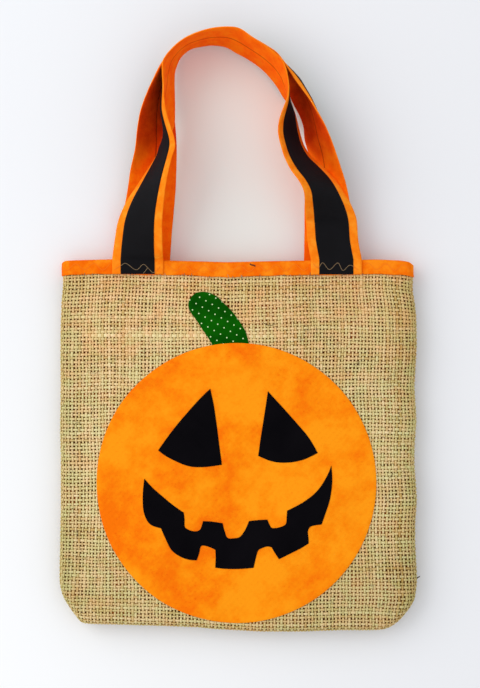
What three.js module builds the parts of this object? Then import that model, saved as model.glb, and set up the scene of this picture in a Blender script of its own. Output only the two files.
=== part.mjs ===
// A burlap candy bag with a pumpkin applique, lying on its back with both handles laid out.
// Millimetres. The bag rests on z = 0 with its front facing +Z and its mouth and handles towards +Y.
// The origin is the middle of the back panel, on the face that the bag lies on.
import * as THREE from 'three';

// Bag body
const bagWidth = 268;
const mouthDrawIn = 2;
const bagHeight = 277;
const cornerCutAcross = 20;
const cornerCutUp = 26;
const bottomThickness = 20;
const mouthThickness = 12;
const sideRound = 7;
const bottomRound = 4.5;
const mouthTaperLength = 67;
const mouthLiftLength = 30;
const flatUnderBinding = 2;

// Cloth and thread
const burlapThickness = 1.2;
const liningThickness = 0.6;
const bindingThickness = 0.8;
const bindingDepth = 11;
const appliqueThickness = 0.5;
const faceThickness = 0.4;
const threadThickness = 0.5;
const fitGap = 0.3;

// Handles
const strapWidth = 38.1;
const strapThickness = 1.2;
const ribbonWidth = 25.4;
const ribbonThickness = 0.5;
const frontLegSpacing = 148;
const rearLegDrawIn = 4;
const frontRise = 165;
const rearRiseMore = 2;
const bendGap = 0.5;

// Wavy stitch across each strap end
const stitchWidth = 24.4;
const stitchWavelength = 11.7;
const stitchHeight = 4.6;
const stitchFromEdge = 4.7;

// Pumpkin, face and stem
const pumpkinRadius = 104.5;
const pumpkinFromBottom = 6.5;

// Colours
const straw = 0xc9b27c;
const orangeCloth = 0xfa7d0a;
const pumpkinCloth = 0xf98a12;
const liningCloth = 0xe8742a;
const blackCloth = 0x0e0d12;
const greenCloth = 0x0d6e0c;
const tanThread = 0x8a7a5a;

const rearLegSpacing = frontLegSpacing - 2 * rearLegDrawIn;
const hemTop = bagHeight / 2;
const bagBottom = -bagHeight / 2;
const pumpkinCentreY = bagBottom + pumpkinFromBottom + pumpkinRadius;

// The rear strap end's layers lie under the mouth, so the mouth's back is lifted by their height
const strapEndStack = strapThickness + ribbonThickness + threadThickness + 3 * fitGap;
const mouthLift = bindingThickness + fitGap + strapEndStack;
const mouthFront = mouthLift + mouthThickness;
const mouthZoneY = hemTop - bindingDepth - flatUnderBinding;
const liftStartY = mouthZoneY - mouthLiftLength;

const part = new THREE.Group();

function clothMaterial(color, roughness) {
  return new THREE.MeshStandardMaterial({ color, roughness, metalness: 0 });
}

function addPiece(name, geometry, color, parent = part, roughness = 0.9) {
  const mesh = new THREE.Mesh(geometry, clothMaterial(color, roughness));
  mesh.name = name;
  parent.add(mesh);
  return mesh;
}

// Closed body from rows of section points: quads between rows, sections closed into rings. The second
// half of a section runs back under the first, so its quads are split along the same diagonals.
function ringLoft(rows, { closeEnds = true, joinLast = false } = {}) {
  const count = rows[0].length;
  const positions = rows.flat().flatMap((point) => [point.x, point.y, point.z]);
  const index = [];
  const lastRow = joinLast ? rows.length : rows.length - 1;
  for (let row = 0; row < lastRow; row += 1) {
    const next = (row + 1) % rows.length;
    for (let i = 0; i < count; i += 1) {
      const j = (i + 1) % count;
      const a = row * count + i;
      const b = row * count + j;
      const c = next * count + j;
      const d = next * count + i;
      if (i < count / 2) {
        index.push(a, b, c, a, c, d);
      } else {
        index.push(a, b, d, b, c, d);
      }
    }
  }
  if (closeEnds && !joinLast) {
    const end = (rows.length - 1) * count;
    for (const [i, j, k] of endTriangles(rows[0])) {
      index.push(k, j, i);
    }
    for (const [i, j, k] of endTriangles(rows[rows.length - 1])) {
      index.push(end + i, end + j, end + k);
    }
  }
  return closedGeometry(positions, index);
}

// Triangles of an end section that is a strip: its first half runs out and its second half runs back
function endTriangles(section) {
  const count = section.length;
  const half = count / 2;
  const triangles = [];
  for (let i = 0; i < half - 1; i += 1) {
    const a = i;
    const b = i + 1;
    const c = count - 2 - i;
    const d = count - 1 - i;
    triangles.push([a, b, c], [a, c, d]);
  }
  return triangles;
}

// Indexed geometry with its faces pointing out
function closedGeometry(positions, index) {
  let volume = 0;
  const corner = [new THREE.Vector3(), new THREE.Vector3(), new THREE.Vector3()];
  for (let i = 0; i < index.length; i += 3) {
    corner.forEach((vector, k) => vector.fromArray(positions, 3 * index[i + k]));
    volume += corner[0].dot(corner[1].clone().cross(corner[2]));
  }
  if (volume < 0) {
    index.reverse();
  }
  const geometry = new THREE.BufferGeometry();
  geometry.setAttribute('position', new THREE.Float32BufferAttribute(positions, 3));
  geometry.setIndex(index);
  geometry.computeVertexNormals();
  return geometry;
}

// Closed sheet between two grids of points of the same size
function sheetBetween(outerRows, innerRows) {
  const rows = outerRows.map((outer, row) => [...outer, ...innerRows[row].slice().reverse()]);
  return ringLoft(rows);
}

// Half width of the burlap at a height y, measured to a surface that lies inset inside it
function halfWidthAt(y, inset) {
  const cornerTop = bagBottom + cornerCutUp;
  const taper = THREE.MathUtils.clamp((y - (hemTop - mouthTaperLength)) / mouthTaperLength, 0, 1);
  const straight = bagWidth / 2 - taper * mouthDrawIn - inset;
  if (y >= cornerTop) {
    return straight;
  }
  const share = (cornerTop - y) / cornerCutUp;
  const slantInset = inset * Math.hypot(cornerCutAcross, cornerCutUp) / cornerCutUp;
  return Math.min(straight, bagWidth / 2 - share * cornerCutAcross - slantInset);
}

// Height of the burlap's back and front faces at y, away from the rounded edges
function backFaceZ(y) {
  return mouthLift * THREE.MathUtils.clamp((y - liftStartY) / mouthLiftLength, 0, 1);
}

function frontFaceZ(y) {
  const share = THREE.MathUtils.clamp((y - bagBottom) / (mouthZoneY - bagBottom), 0, 1);
  return bottomThickness + share * (mouthFront - bottomThickness);
}

const sideSteps = 5;
const bottomSteps = 4;

// Half of a section across the bag: from the left seam over one face to the right seam
function halfSection(y, inset, side, seamGap, bottomShare = 1) {
  const back = backFaceZ(y) + inset;
  const front = frontFaceZ(y) - inset;
  const middle = (backFaceZ(y) + frontFaceZ(y)) / 2;
  const rise = ((front - back) / 2) * bottomShare;
  const halfWidth = halfWidthAt(y, inset);
  const round = sideRound - inset;
  const left = [];
  const right = [];
  for (let k = 0; k <= sideSteps; k += 1) {
    const angle = (k / sideSteps) * (Math.PI / 2);
    const z = middle + side * (seamGap + (rise - seamGap) * Math.sin(angle));
    const x = halfWidth - round + round * Math.cos(angle);
    left.push(new THREE.Vector3(-x, y, z));
    right.unshift(new THREE.Vector3(x, y, z));
  }
  return [...left, ...right];
}

// Share of the full thickness that is left at the bottom seam
const leastBottomShare = 0.03;

// Rows from the bottom seam to the mouth, for a surface that lies inset inside the burlap
function panelRows(inset, side, topY) {
  const seamGap = fitGap / 2;
  const bottom = bagBottom + inset;
  const round = bottomRound - inset;
  const rows = [];
  for (let k = 0; k <= bottomSteps; k += 1) {
    const angle = (k / bottomSteps) * (Math.PI / 2);
    const y = bottom + round * (1 - Math.cos(angle));
    rows.push(halfSection(y, inset, side, seamGap, Math.max(Math.sin(angle), leastBottomShare)));
  }
  const breaks = [bagBottom + cornerCutUp, hemTop - mouthTaperLength, liftStartY, mouthZoneY, topY];
  breaks.sort((a, b) => a - b);
  breaks.forEach((y) => rows.push(halfSection(y, inset, side, seamGap)));
  return rows;
}

function makePanel(outerInset, thickness, side) {
  const topY = hemTop - bindingThickness - fitGap;
  return sheetBetween(panelRows(outerInset, side, topY), panelRows(outerInset + thickness, side, topY));
}

// Binding: a strip folded over the mouth's edge, outside the burlap and inside the lining
function makeBinding() {
  const outside = -(fitGap + bindingThickness);
  const burlapFace = -fitGap;
  const liningFace = burlapThickness + liningThickness + 2 * fitGap;
  const inside = liningFace + bindingThickness;
  const lower = hemTop - bindingDepth;
  const under = hemTop - bindingThickness;
  const profile = [
    [outside, lower],
    [outside, hemTop],
    [inside, hemTop],
    [inside, lower],
    [liningFace, lower],
    [liningFace, under],
    [burlapFace, under],
    [burlapFace, lower],
  ];
  const loops = profile.map(([inset, y]) => {
    const over = halfSection(y, inset, 1, 0).slice(0, -1);
    const below = halfSection(y, inset, -1, 0).reverse().slice(0, -1);
    return [...over, ...below];
  });
  const rows = loops[0].map((_, i) => loops.map((loop) => loop[i]));
  return ringLoft(rows, { joinLast: true });
}

function addBag() {
  const liningInset = burlapThickness + fitGap;
  addPiece('burlap_front', makePanel(0, burlapThickness, 1), straw, part, 0.95);
  addPiece('burlap_back', makePanel(0, burlapThickness, -1), straw, part, 0.95);
  addPiece('lining_front', makePanel(liningInset, liningThickness, 1), liningCloth);
  addPiece('lining_back', makePanel(liningInset, liningThickness, -1), liningCloth);
  addPiece('hem_binding', makeBinding(), orangeCloth);
}

// The outlines of face and stem are shares of the pumpkin's radius, in hundredths, from its centre
const faceUnit = pumpkinRadius / 100;

function facePoint([x, y]) {
  return new THREE.Vector2(x * faceUnit, y * faceUnit);
}

// Control point of the quadratic curve between two points that passes a third one midway
function controlPoint(from, via, to) {
  const middle = from.clone().add(to).multiplyScalar(0.5);
  return via.clone().multiplyScalar(2).sub(middle);
}

// An eye: apex, curve to one lower corner, curved bottom, then the other lower corner
function eyeShape({ apex, outerVia, outer, bottomVia, inner }) {
  const shape = new THREE.Shape();
  const [start, side, first, bottom, second] = [apex, outerVia, outer, bottomVia, inner].map(facePoint);
  const sideControl = controlPoint(start, side, first);
  const bottomControl = controlPoint(first, bottom, second);
  shape.moveTo(start.x, start.y);
  shape.quadraticCurveTo(sideControl.x, sideControl.y, first.x, first.y);
  shape.quadraticCurveTo(bottomControl.x, bottomControl.y, second.x, second.y);
  shape.closePath();
  return shape;
}

const leftEyeShares = {
  apex: [-18.5, 67.1],
  outerVia: [-37.7, 46.3],
  outer: [-55.9, 22.7],
  bottomVia: [-31.5, 12.6],
  inner: [-10.4, 13.3],
};

const rightEyeShares = {
  apex: [22.6, 65.6],
  outerVia: [43.1, 43.5],
  outer: [58, 21.1],
  bottomVia: [36, 14.4],
  inner: [15.9, 19],
};

// Mouth outline, clockwise from its left tip: upper edge with two teeth, then lower edge with three
const mouthUpperShares = [
  [-65.7, 2.9], [-53.1, -9.7], [-37.3, -21.1], [-37.3, -31.6], [-31.2, -34.2], [-26.8, -33.1],
  [-24, -27.2], [-10, -28.6], [-6.7, -38.8], [2.7, -38.8], [4.9, -37.1], [8.9, -27.2],
  [21.9, -26.4], [25.2, -31.6], [31.1, -32.1], [35.1, -29.4], [35.9, -20.6], [49.7, -13],
  [60.6, -2.1], [68.1, 11.9],
];
const mouthLowerShares = [
  [68.3, 0.1], [66.1, -15.2], [60.6, -29.4], [54.1, -30.9], [51, -34.9], [51.4, -42.5],
  [40.9, -49.1], [29.6, -53.9], [25.2, -46.2], [15.9, -48], [12.6, -59.8], [-0.6, -61.1],
  [-15, -59.8], [-15, -48], [-25.3, -44.7], [-28.4, -55], [-37.7, -52.8], [-45.4, -48],
  [-49.8, -40.4], [-54.1, -32], [-59.6, -30.5], [-64, -25], [-66.9, -16.3], [-66.9, -6.4],
];

function mouthShape() {
  return new THREE.Shape([...mouthUpperShares, ...mouthLowerShares].map(facePoint));
}

// Stem: a bent strip with a round end, cut at its foot by the pumpkin's edge
const stemSpineShares = [[-2.8, 100], [-16.6, 121], [-23.9, 126.4]];
const stemHalfWidth = 11.2;
const stemFootShares = [-1.12, -0.37, 0.37, 1.12];

function stemShape() {
  const spine = new THREE.QuadraticBezierCurve(...stemSpineShares.map(facePoint));
  const steps = 6;
  const leftSide = [];
  const rightSide = [];
  for (let i = 1; i <= steps; i += 1) {
    const point = spine.getPoint(i / steps);
    const ahead = spine.getTangent(i / steps);
    const across = new THREE.Vector2(-ahead.y, ahead.x).multiplyScalar(stemHalfWidth);
    leftSide.push(point.clone().add(across));
    rightSide.push(point.clone().sub(across));
  }
  const tip = spine.getPoint(1);
  const ahead = spine.getTangent(1);
  const startAngle = Math.atan2(-ahead.x, ahead.y);
  const cap = [];
  for (let k = 1; k < steps; k += 1) {
    const angle = startAngle + (k / steps) * Math.PI;
    cap.push(new THREE.Vector2(Math.cos(angle), Math.sin(angle)).multiplyScalar(stemHalfWidth).add(tip));
  }
  const footRadius = pumpkinRadius + fitGap;
  const foot = spine.getPoint(0);
  const footArc = stemFootShares.map((share) => {
    const towards = new THREE.Vector2(foot.x + share * stemHalfWidth, foot.y);
    return towards.setLength(footRadius);
  });
  return new THREE.Shape([...footArc, ...rightSide, ...cap, ...leftSide.reverse()]);
}

function plate(shape, thickness, bottomZ, curveSegments = 8) {
  const geometry = new THREE.ExtrudeGeometry(shape, { depth: thickness, bevelEnabled: false, curveSegments });
  geometry.translate(0, 0, bottomZ);
  return geometry;
}

function addAppliques() {
  const slope = (mouthFront - bottomThickness) / (mouthZoneY - bagBottom);
  const front = new THREE.Group();
  front.rotation.x = Math.atan(slope);
  front.position.set(0, pumpkinCentreY, frontFaceZ(pumpkinCentreY));
  part.add(front);
  const disc = new THREE.Shape();
  disc.absarc(0, 0, pumpkinRadius, 0, 2 * Math.PI);
  const faceZ = appliqueThickness + 2 * fitGap;
  addPiece('pumpkin_applique', plate(disc, appliqueThickness, fitGap, 72), pumpkinCloth, front, 0.85);
  addPiece('stem_applique', plate(stemShape(), appliqueThickness, fitGap), greenCloth, front, 0.85);
  addPiece('left_eye', plate(eyeShape(leftEyeShares), faceThickness, faceZ), blackCloth, front, 0.8);
  addPiece('right_eye', plate(eyeShape(rightEyeShares), faceThickness, faceZ), blackCloth, front, 0.8);
  addPiece('mouth', plate(mouthShape(), faceThickness, faceZ), blackCloth, front, 0.8);
}

// Stations along a handle, from the left leg over the arch to the right leg:
// share of half the leg spacing across, share of the rise, height of the lower edge, lean in degrees
const frontStationShares = [
  [-0.97, 0.18, 16, 28],
  [-0.92, 0.27, 18, 41],
  [-0.82, 0.37, 17, 60],
  [-0.72, 0.49, 15.5, 73],
  [-0.68, 0.64, 11.5, 88],
  [-0.68, 0.74, 9, 99],
  [-0.68, 0.85, 7, 101],
  [-0.61, 0.93, 6.5, 101],
  [-0.46, 0.98, 6.5, 98],
  [-0.25, 1, 6.5, 100],
  [-0.08, 1, 6.5, 104],
  [0.07, 0.97, 6.5, 106],
  [0.21, 0.93, 6.5, 106],
  [0.34, 0.88, 6.5, 107],
  [0.44, 0.82, 6.5, 104],
  [0.5, 0.75, 6, 94],
  [0.51, 0.62, 6, 68],
  [0.53, 0.56, 6, 64],
  [0.57, 0.49, 8, 62],
  [0.65, 0.43, 13.5, 54],
  [0.79, 0.36, 23, 43],
  [0.87, 0.3, 22.5, 32],
  [0.94, 0.22, 18, 12],
  [0.97, 0.13, 17.6, 3],
];

const rearStationShares = [
  [-0.97, 0.18, 1.6, 8],
  [-0.92, 0.28, 1.6, 20],
  [-0.9, 0.38, 1.4, 26],
  [-0.87, 0.5, 1.3, 37],
  [-0.85, 0.6, 1.3, 42],
  [-0.81, 0.75, 1.2, 62],
  [-0.765, 0.86, 1.2, 79],
  [-0.68, 0.925, 1.2, 79],
  [-0.5, 0.98, 1.2, 81],
  [-0.27, 1.003, 1.2, 80],
  [-0.09, 1.003, 1.2, 77],
  [0.085, 0.975, 1.2, 75],
  [0.24, 0.935, 1.2, 75],
  [0.39, 0.89, 1.2, 76],
  [0.57, 0.865, 1.2, 92],
  [0.7, 0.81, 1.2, 101],
  [0.78, 0.71, 1.2, 88],
  [0.81, 0.635, 1.2, 71],
  [0.85, 0.55, 1.2, 62],
  [0.935, 0.45, 1.2, 58],
  [0.955, 0.36, 1.2, 38],
  [0.955, 0.29, 1.3, 25],
  [0.98, 0.18, 1.6, 8],
];

// A handle is a flat strap that twists along its way. Its section is named from the lower edge to the
// upper edge, and its outer face carries the ribbon.
function handleFrames({ stations, legSpacing, rise, rootZ, lowerEdgeIsOutside }) {
  const halfWidth = strapWidth / 2;
  const root = (side) => [side, 0, rootZ, 0];
  const list = [root(-1), ...stations, root(1)];
  const rootHeight = bendGap / rise;
  const middle = list.map(([across, along, lowerZ, lean]) => new THREE.Vector3(
    across * legSpacing / 2,
    hemTop + Math.max(along, rootHeight) * rise,
    lowerZ + halfWidth * Math.sin(THREE.MathUtils.degToRad(lean)),
  ));
  const leans = list.map((station) => new THREE.Vector3(station[3], 0, 0));
  const path = new THREE.CatmullRomCurve3(middle, false, 'catmullrom', 0.5);
  const leanCurve = new THREE.CatmullRomCurve3(leans, false, 'catmullrom', 0.5);
  const perStation = 3;
  const steps = (list.length - 1) * perStation;
  const up = new THREE.Vector3(0, 0, 1);
  const frames = [];
  for (let i = 0; i <= steps; i += 1) {
    const isRoot = i === 0 || i === steps;
    const along = path.getTangent(i / steps).setZ(0).normalize();
    if (isRoot) {
      along.set(0, i === 0 ? 1 : -1, 0);
    }
    const inward = along.clone().cross(up);
    const lean = isRoot ? 0 : THREE.MathUtils.degToRad(leanCurve.getPoint(i / steps).x);
    const flat = inward.multiplyScalar(lowerEdgeIsOutside ? 1 : -1);
    const across = flat.multiplyScalar(Math.cos(lean)).addScaledVector(up, Math.sin(lean));
    const ahead = isRoot ? along : path.getTangent(i / steps);
    const outward = across.clone().cross(ahead).normalize();
    frames.push({ centre: path.getPoint(i / steps), across, outward });
  }
  return frames;
}

function sectionPoint({ centre, across, outward }, acrossBy, outwardBy) {
  return centre.clone().addScaledVector(across, acrossBy).addScaledVector(outward, outwardBy);
}

function strapSection(frame) {
  const half = strapWidth / 2;
  const ribbonHalf = ribbonWidth / 2;
  const face = strapThickness / 2;
  const stops = [-half, -ribbonHalf, ribbonHalf, half];
  const outer = stops.map((stop) => sectionPoint(frame, stop, face));
  const inner = stops.map((stop) => sectionPoint(frame, stop, -face)).reverse();
  return [...outer, ...inner];
}

function ribbonSection(frame) {
  const half = ribbonWidth / 2;
  const under = strapThickness / 2 + fitGap;
  const over = under + ribbonThickness;
  return [
    sectionPoint(frame, -half, over),
    sectionPoint(frame, half, over),
    sectionPoint(frame, half, under),
    sectionPoint(frame, -half, under),
  ];
}

function addHandle(name, options) {
  const frames = handleFrames(options);
  addPiece(`${name}_strap`, ringLoft(frames.map(strapSection)), orangeCloth);
  addPiece(`${name}_ribbon`, ringLoft(frames.map(ribbonSection)), blackCloth, part, 0.6);
}

// Sewn strap end: strap, ribbon and wavy stitch, stacked on the binding from the inside out
function wavyStitch() {
  const radius = threadThickness / 2;
  const section = new THREE.Shape();
  section.absarc(0, 0, radius, 0, 2 * Math.PI);
  const periods = stitchWidth / stitchWavelength;
  const count = 25;
  const points = [];
  for (let i = 0; i < count; i += 1) {
    const share = i / (count - 1);
    const swing = Math.sin(share * periods * 2 * Math.PI) * (stitchHeight / 2 - radius);
    points.push(new THREE.Vector3((share - 0.5) * stitchWidth, swing, 0));
  }
  return new THREE.ExtrudeGeometry(section, {
    steps: 28,
    curveSegments: 6,
    bevelEnabled: false,
    extrudePath: new THREE.CatmullRomCurve3(points),
  });
}

function addStrapEnd(name, x, bindingFaceZ, direction) {
  const end = new THREE.Group();
  end.position.set(x, hemTop - bindingDepth / 2, bindingFaceZ);
  end.rotation.y = direction > 0 ? 0 : Math.PI;
  part.add(end);
  const strapZ = fitGap + strapThickness / 2;
  const ribbonZ = strapZ + (strapThickness + ribbonThickness) / 2 + fitGap;
  const stitchZ = ribbonZ + (ribbonThickness + threadThickness) / 2 + fitGap;
  const strap = new THREE.BoxGeometry(strapWidth, bindingDepth, strapThickness);
  const ribbon = new THREE.BoxGeometry(ribbonWidth, bindingDepth, ribbonThickness);
  addPiece(`${name}_strap_end`, strap, orangeCloth, end).position.z = strapZ;
  addPiece(`${name}_ribbon_end`, ribbon, blackCloth, end, 0.6).position.z = ribbonZ;
  const stitch = addPiece(`${name}_wavy_stitch`, wavyStitch(), tanThread, end, 0.7);
  stitch.position.set(0, bindingDepth / 2 - stitchFromEdge, stitchZ);
}

function addHandles() {
  const frontFace = mouthFront + fitGap + bindingThickness;
  const rearFace = mouthLift - fitGap - bindingThickness;
  const strapMiddle = fitGap + strapThickness / 2;
  for (const [side, sign] of [['left', -1], ['right', 1]]) {
    addStrapEnd(`front_${side}`, sign * frontLegSpacing / 2, frontFace, 1);
    addStrapEnd(`rear_${side}`, sign * rearLegSpacing / 2, rearFace, -1);
  }
  addHandle('front', {
    stations: frontStationShares,
    legSpacing: frontLegSpacing,
    rise: frontRise,
    rootZ: frontFace + strapMiddle,
    lowerEdgeIsOutside: true,
  });
  addHandle('rear', {
    stations: rearStationShares,
    legSpacing: rearLegSpacing,
    rise: frontRise + rearRiseMore,
    rootZ: rearFace - strapMiddle,
    lowerEdgeIsOutside: false,
  });
}

addBag();
addAppliques();
addHandles();

export default part;
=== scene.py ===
"""A burlap candy bag with a pumpkin applique, lying on its back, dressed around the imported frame."""
import math

import bpy
import numpy as np
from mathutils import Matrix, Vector
from mathutils.geometry import delaunay_2d_cdt


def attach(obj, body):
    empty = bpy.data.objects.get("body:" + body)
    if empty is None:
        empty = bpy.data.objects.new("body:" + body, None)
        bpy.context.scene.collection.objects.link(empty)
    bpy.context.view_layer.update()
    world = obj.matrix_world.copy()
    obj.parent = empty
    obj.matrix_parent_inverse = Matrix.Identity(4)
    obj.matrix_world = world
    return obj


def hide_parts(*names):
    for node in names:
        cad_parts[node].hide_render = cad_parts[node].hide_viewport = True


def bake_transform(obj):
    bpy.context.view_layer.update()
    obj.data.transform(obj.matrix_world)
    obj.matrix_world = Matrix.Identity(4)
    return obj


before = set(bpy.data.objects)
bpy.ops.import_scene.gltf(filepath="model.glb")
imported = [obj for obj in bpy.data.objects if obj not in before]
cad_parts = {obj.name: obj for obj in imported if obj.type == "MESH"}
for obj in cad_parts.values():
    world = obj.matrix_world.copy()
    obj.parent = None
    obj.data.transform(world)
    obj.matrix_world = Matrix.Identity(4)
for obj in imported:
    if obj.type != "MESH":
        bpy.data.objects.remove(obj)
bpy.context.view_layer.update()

# Lengths are in millimetres until a mesh is made
MM = 0.001

# The bag, as in the frame
HALF_WIDTH = 134.0
HEM_TOP = 138.5
BAG_BOTTOM = -138.5
FRONT_Z_AT_BOTTOM = 20.0
BACK_Z_AT_MOUTH = 4.2
FRONT_Z_AT_MOUTH = 16.2
MOUTH_ZONE_Y = 125.5
LIFT_START_Y = 95.5
BAG_SHIFT_X = 0.3
MOUTH_SHIFT_X = 0.35
MOUTH_NARROWER = 0.019
BINDING_DEPTH = 11.0
BINDING_THICK = 0.8

# Camera: straight above, as the photograph was taken
CAMERA_PLACE = (2.25, 76.1, 1310.0)
PHOTO_PLANE_Z = 10.0
PHOTO_MM_PER_PX = 0.75
PHOTO_HEIGHT_PX = 688
SENSOR = 36.0

# Burlap weave
WARP_PITCH = 2.57
WEFT_PITCH = 2.8
WEAVE_AMPLITUDE = 0.36
THREAD_HALF_HEIGHT = 0.42
WARP_HALF_WIDTH = 0.925
WEFT_HALF_WIDTH = 1.0
FRONT_INSET = 0.7
BACK_INSET = 0.85
SIDE_INSET = 0.8
GAP_UNEVENNESS = 0.042
THREAD_WANDER = 0.16
THREAD_MARGIN = 0.4
SLUB_CHANCE = 0.15
THREAD_TONE_SPREAD = 0.04
# Painted shade: how much darker the lower corners of a thread's section are
THREAD_EDGE_PAINTED_SHADE = 0.32
SLUB_PLACE = (-58.4, 123.7)
THICK_WEFT_Y = 82.8
BURLAP_TOP = 136.4

# Rolled rim of a panel towards its seam
RIM_ACROSS = 6.2
RIM_DROP_DEPTH = 8.0
SEAM_TURN = 0.8
SEAM_LAP = 1.8
SEAM_GAP = 0.85


def clamp01(value):
    return np.clip(value, 0.0, 1.0)


def smooth(value):
    value = clamp01(value)
    return value * value * (3 - 2 * value)


def unit(vectors):
    length = np.linalg.norm(vectors, axis=-1, keepdims=True)
    return vectors / np.maximum(length, 1e-9)


def columns(*parts):
    """The parts side by side, as the columns of one array."""
    return np.stack(parts, axis=-1)


def lengths_along(line):
    """Distance from a line's first point to each of its points."""
    return np.concatenate([[0], np.cumsum(np.linalg.norm(np.diff(line, axis=0), axis=1))])


def waves(x, y, seed, size, count=7):
    """Smooth wandering value of about -1 to 1 over the plane, with bumps of about the given size."""
    local = np.random.default_rng(seed)
    total = np.zeros(np.broadcast(x, y).shape)
    for _ in range(count):
        angle = local.uniform(0, 2 * math.pi)
        length = size * local.uniform(1.4, 2.8)
        phase = local.uniform(0, 2 * math.pi)
        total += np.sin(2 * math.pi * (x * math.cos(angle) + y * math.sin(angle)) / length + phase)
    return total / math.sqrt(count) * 0.9


def along_noise(position, local, size):
    """Smooth random value along one thread."""
    knots = np.arange(-1, int((position[-1] - position[0]) / size) + 3)
    values = local.normal(0, 1, len(knots))
    return np.interp((position - position[0]) / size, knots, values)


# The bag's outline in the plan, and the heights of its faces over the table
def bottom_shift(x):
    """The bottom edge lies a little higher at the left corner."""
    stops = [-134, -115, -100, -77, -58, -29, -17, 17, 47, 78, 102, 114, 134]
    shifts = [4.6, 4.6, 4.4, 3.85, 3.3, 2.1, 0.9, -1.0, -1.05, 0.05, -0.15, -0.85, -1.3]
    return np.interp(x, stops, shifts)


def hem_shift(x):
    """The mouth's edge wanders up and down along its width."""
    stops = [-133, -116, -94, -55, -8, 45, 74, 104, 122, 133]
    return np.interp(x, stops, [-0.3, 0.3, 0.9, 0.1, -1.25, -0.1, 0.2, 0.8, 0.0, -1.7])


def side_shift(x, y):
    """The wefts pull the two long edges in and let them bulge out, by turns."""
    left_stops = [-120, -106, -96, -80, -45, -7, 10, 46, 73, 90, 108, 120, 128, 137]
    left = [-1.0, -0.5, 0.2, 0.7, 1.3, 1.3, 0.8, 1.2, 0.8, 0.1, -0.2, 0.5, 0.3, 0.7]
    right_stops = [-124, -114, -105, -96, -86, -70, -58, -41, -34, -14, 1, 19, 28, 44, 62, 77, 98,
                   107, 118, 130]
    right = [0.3, 2.1, 1.7, 1.2, 0.3, -0.5, -0.4, 0.8, 0.5, -1.0, -0.7, 0.6, 0.1, -0.9, 0.1, 1.1, 1.5,
             0.9, -0.5, 0.0]
    west = smooth((-x - 60) / 70) * np.interp(y, left_stops, left)
    return west + smooth((x - 60) / 70) * np.interp(y, right_stops, right)


def plan_warp(x, y):
    """From the straight cut shape of the cloth to its slightly pulled shape on the table."""
    mouth = smooth((y - 60) / 75)
    bottom = 1 - smooth((y - BAG_BOTTOM) / 95)
    top = smooth((y - 70) / 60)
    new_x = x * (1 - MOUTH_NARROWER * mouth) + BAG_SHIFT_X + MOUTH_SHIFT_X * mouth + side_shift(x, y)
    inner = (1 - smooth((np.abs(x) - 90) / 40)) * (1 - smooth((np.abs(y) - 90) / 38))
    new_x = new_x + 0.8 * waves(x, y, 5, 60) * inner
    new_y = y + bottom_shift(x) * bottom + hem_shift(x) * top + 0.9 * waves(x, y, 6, 50) * inner
    return new_x, new_y


def back_face(x, y):
    lift = BACK_Z_AT_MOUTH * smooth((y - LIFT_START_Y) / (MOUTH_ZONE_Y - LIFT_START_Y))
    return lift + 0.25 * (1 + waves(x, y, 11, 45)) * smooth((100 - np.abs(y)) / 60)


def front_face(x, y):
    share = clamp01((y - BAG_BOTTOM) / (MOUTH_ZONE_Y - BAG_BOTTOM))
    plane = FRONT_Z_AT_BOTTOM + share * (FRONT_Z_AT_MOUTH - FRONT_Z_AT_BOTTOM)
    sag = 0.7 * waves(x, y, 21, 55) + 0.3 * waves(x, y, 22, 24)
    side = smooth((np.abs(x) - 95) / 40)
    return plane + (sag - 0.5 - 1.1 * side) * smooth((MOUTH_ZONE_Y - y) / 30)


def rim_profile():
    """Arc length, outward distance and drop along a panel's rolled rim."""
    roll = np.linspace(0, math.pi / 2, 40)
    turn = np.linspace(0, math.pi / 2, 12)[1:]
    lap = RIM_ACROSS - SEAM_TURN
    out = [RIM_ACROSS * np.sin(roll), lap + SEAM_TURN * np.cos(turn), [lap - SEAM_LAP]]
    drop = [RIM_DROP_DEPTH * (1 - np.cos(roll)), RIM_DROP_DEPTH + SEAM_TURN * np.sin(turn),
            [RIM_DROP_DEPTH + SEAM_TURN]]
    line = columns(np.concatenate(out), np.concatenate(drop))
    return lengths_along(line), line[:, 0], line[:, 1]


RIM_ARC, RIM_OUT, RIM_DROP = rim_profile()
RIM_LENGTH = RIM_ARC[-1]

# How far the cut cloth reaches past the bag's outline, before its rim is rolled
CUT_MARGIN = RIM_LENGTH - RIM_ACROSS - SIDE_INSET

# The bag's outline as lines through two points, with the cloth on their left: the sides, the bottom and
# the boxed corners
OUTLINE_LINES = (
    ((-HALF_WIDTH, 0.0), (-HALF_WIDTH, -1.0)),
    ((HALF_WIDTH, -1.0), (HALF_WIDTH, 0.0)),
    ((-1.0, BAG_BOTTOM), (1.0, BAG_BOTTOM)),
    ((-133.6, -114.5), (-116.3, -138.3)),
    ((-134.4, -108.5), (-131.8, -117.5)),
    ((112.5, -137.6), (119.0, -134.2)),
    ((117.6, -135.4), (129.6, -122.2)),
    ((128.6, -123.8), (134.0, -107.5)),
)


def cloth_edges():
    """Edges of the cut cloth as (nx, ny, c): the distance inside is nx*x + ny*y + c."""
    edges = []
    for (ax, ay), (bx, by) in OUTLINE_LINES:
        length = math.hypot(bx - ax, by - ay)
        nx, ny = -(by - ay) / length, (bx - ax) / length
        edges.append((nx, ny, CUT_MARGIN - nx * ax - ny * ay))
    return edges


EDGES = cloth_edges()
EDGE_SOFTNESS = 2.2


def edge_distance(s, t):
    """Distance inside the cut edge, and its gradient."""
    lines = [nx * s + ny * t + c for nx, ny, c in EDGES]
    least = np.minimum.reduce(lines)
    weights = [np.exp(-(line - least) / EDGE_SOFTNESS) for line in lines]
    total = sum(weights)
    gradient = [sum(w * edge[axis] for w, edge in zip(weights, EDGES)) / total for axis in (0, 1)]
    return least - EDGE_SOFTNESS * np.log(total), *gradient


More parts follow.
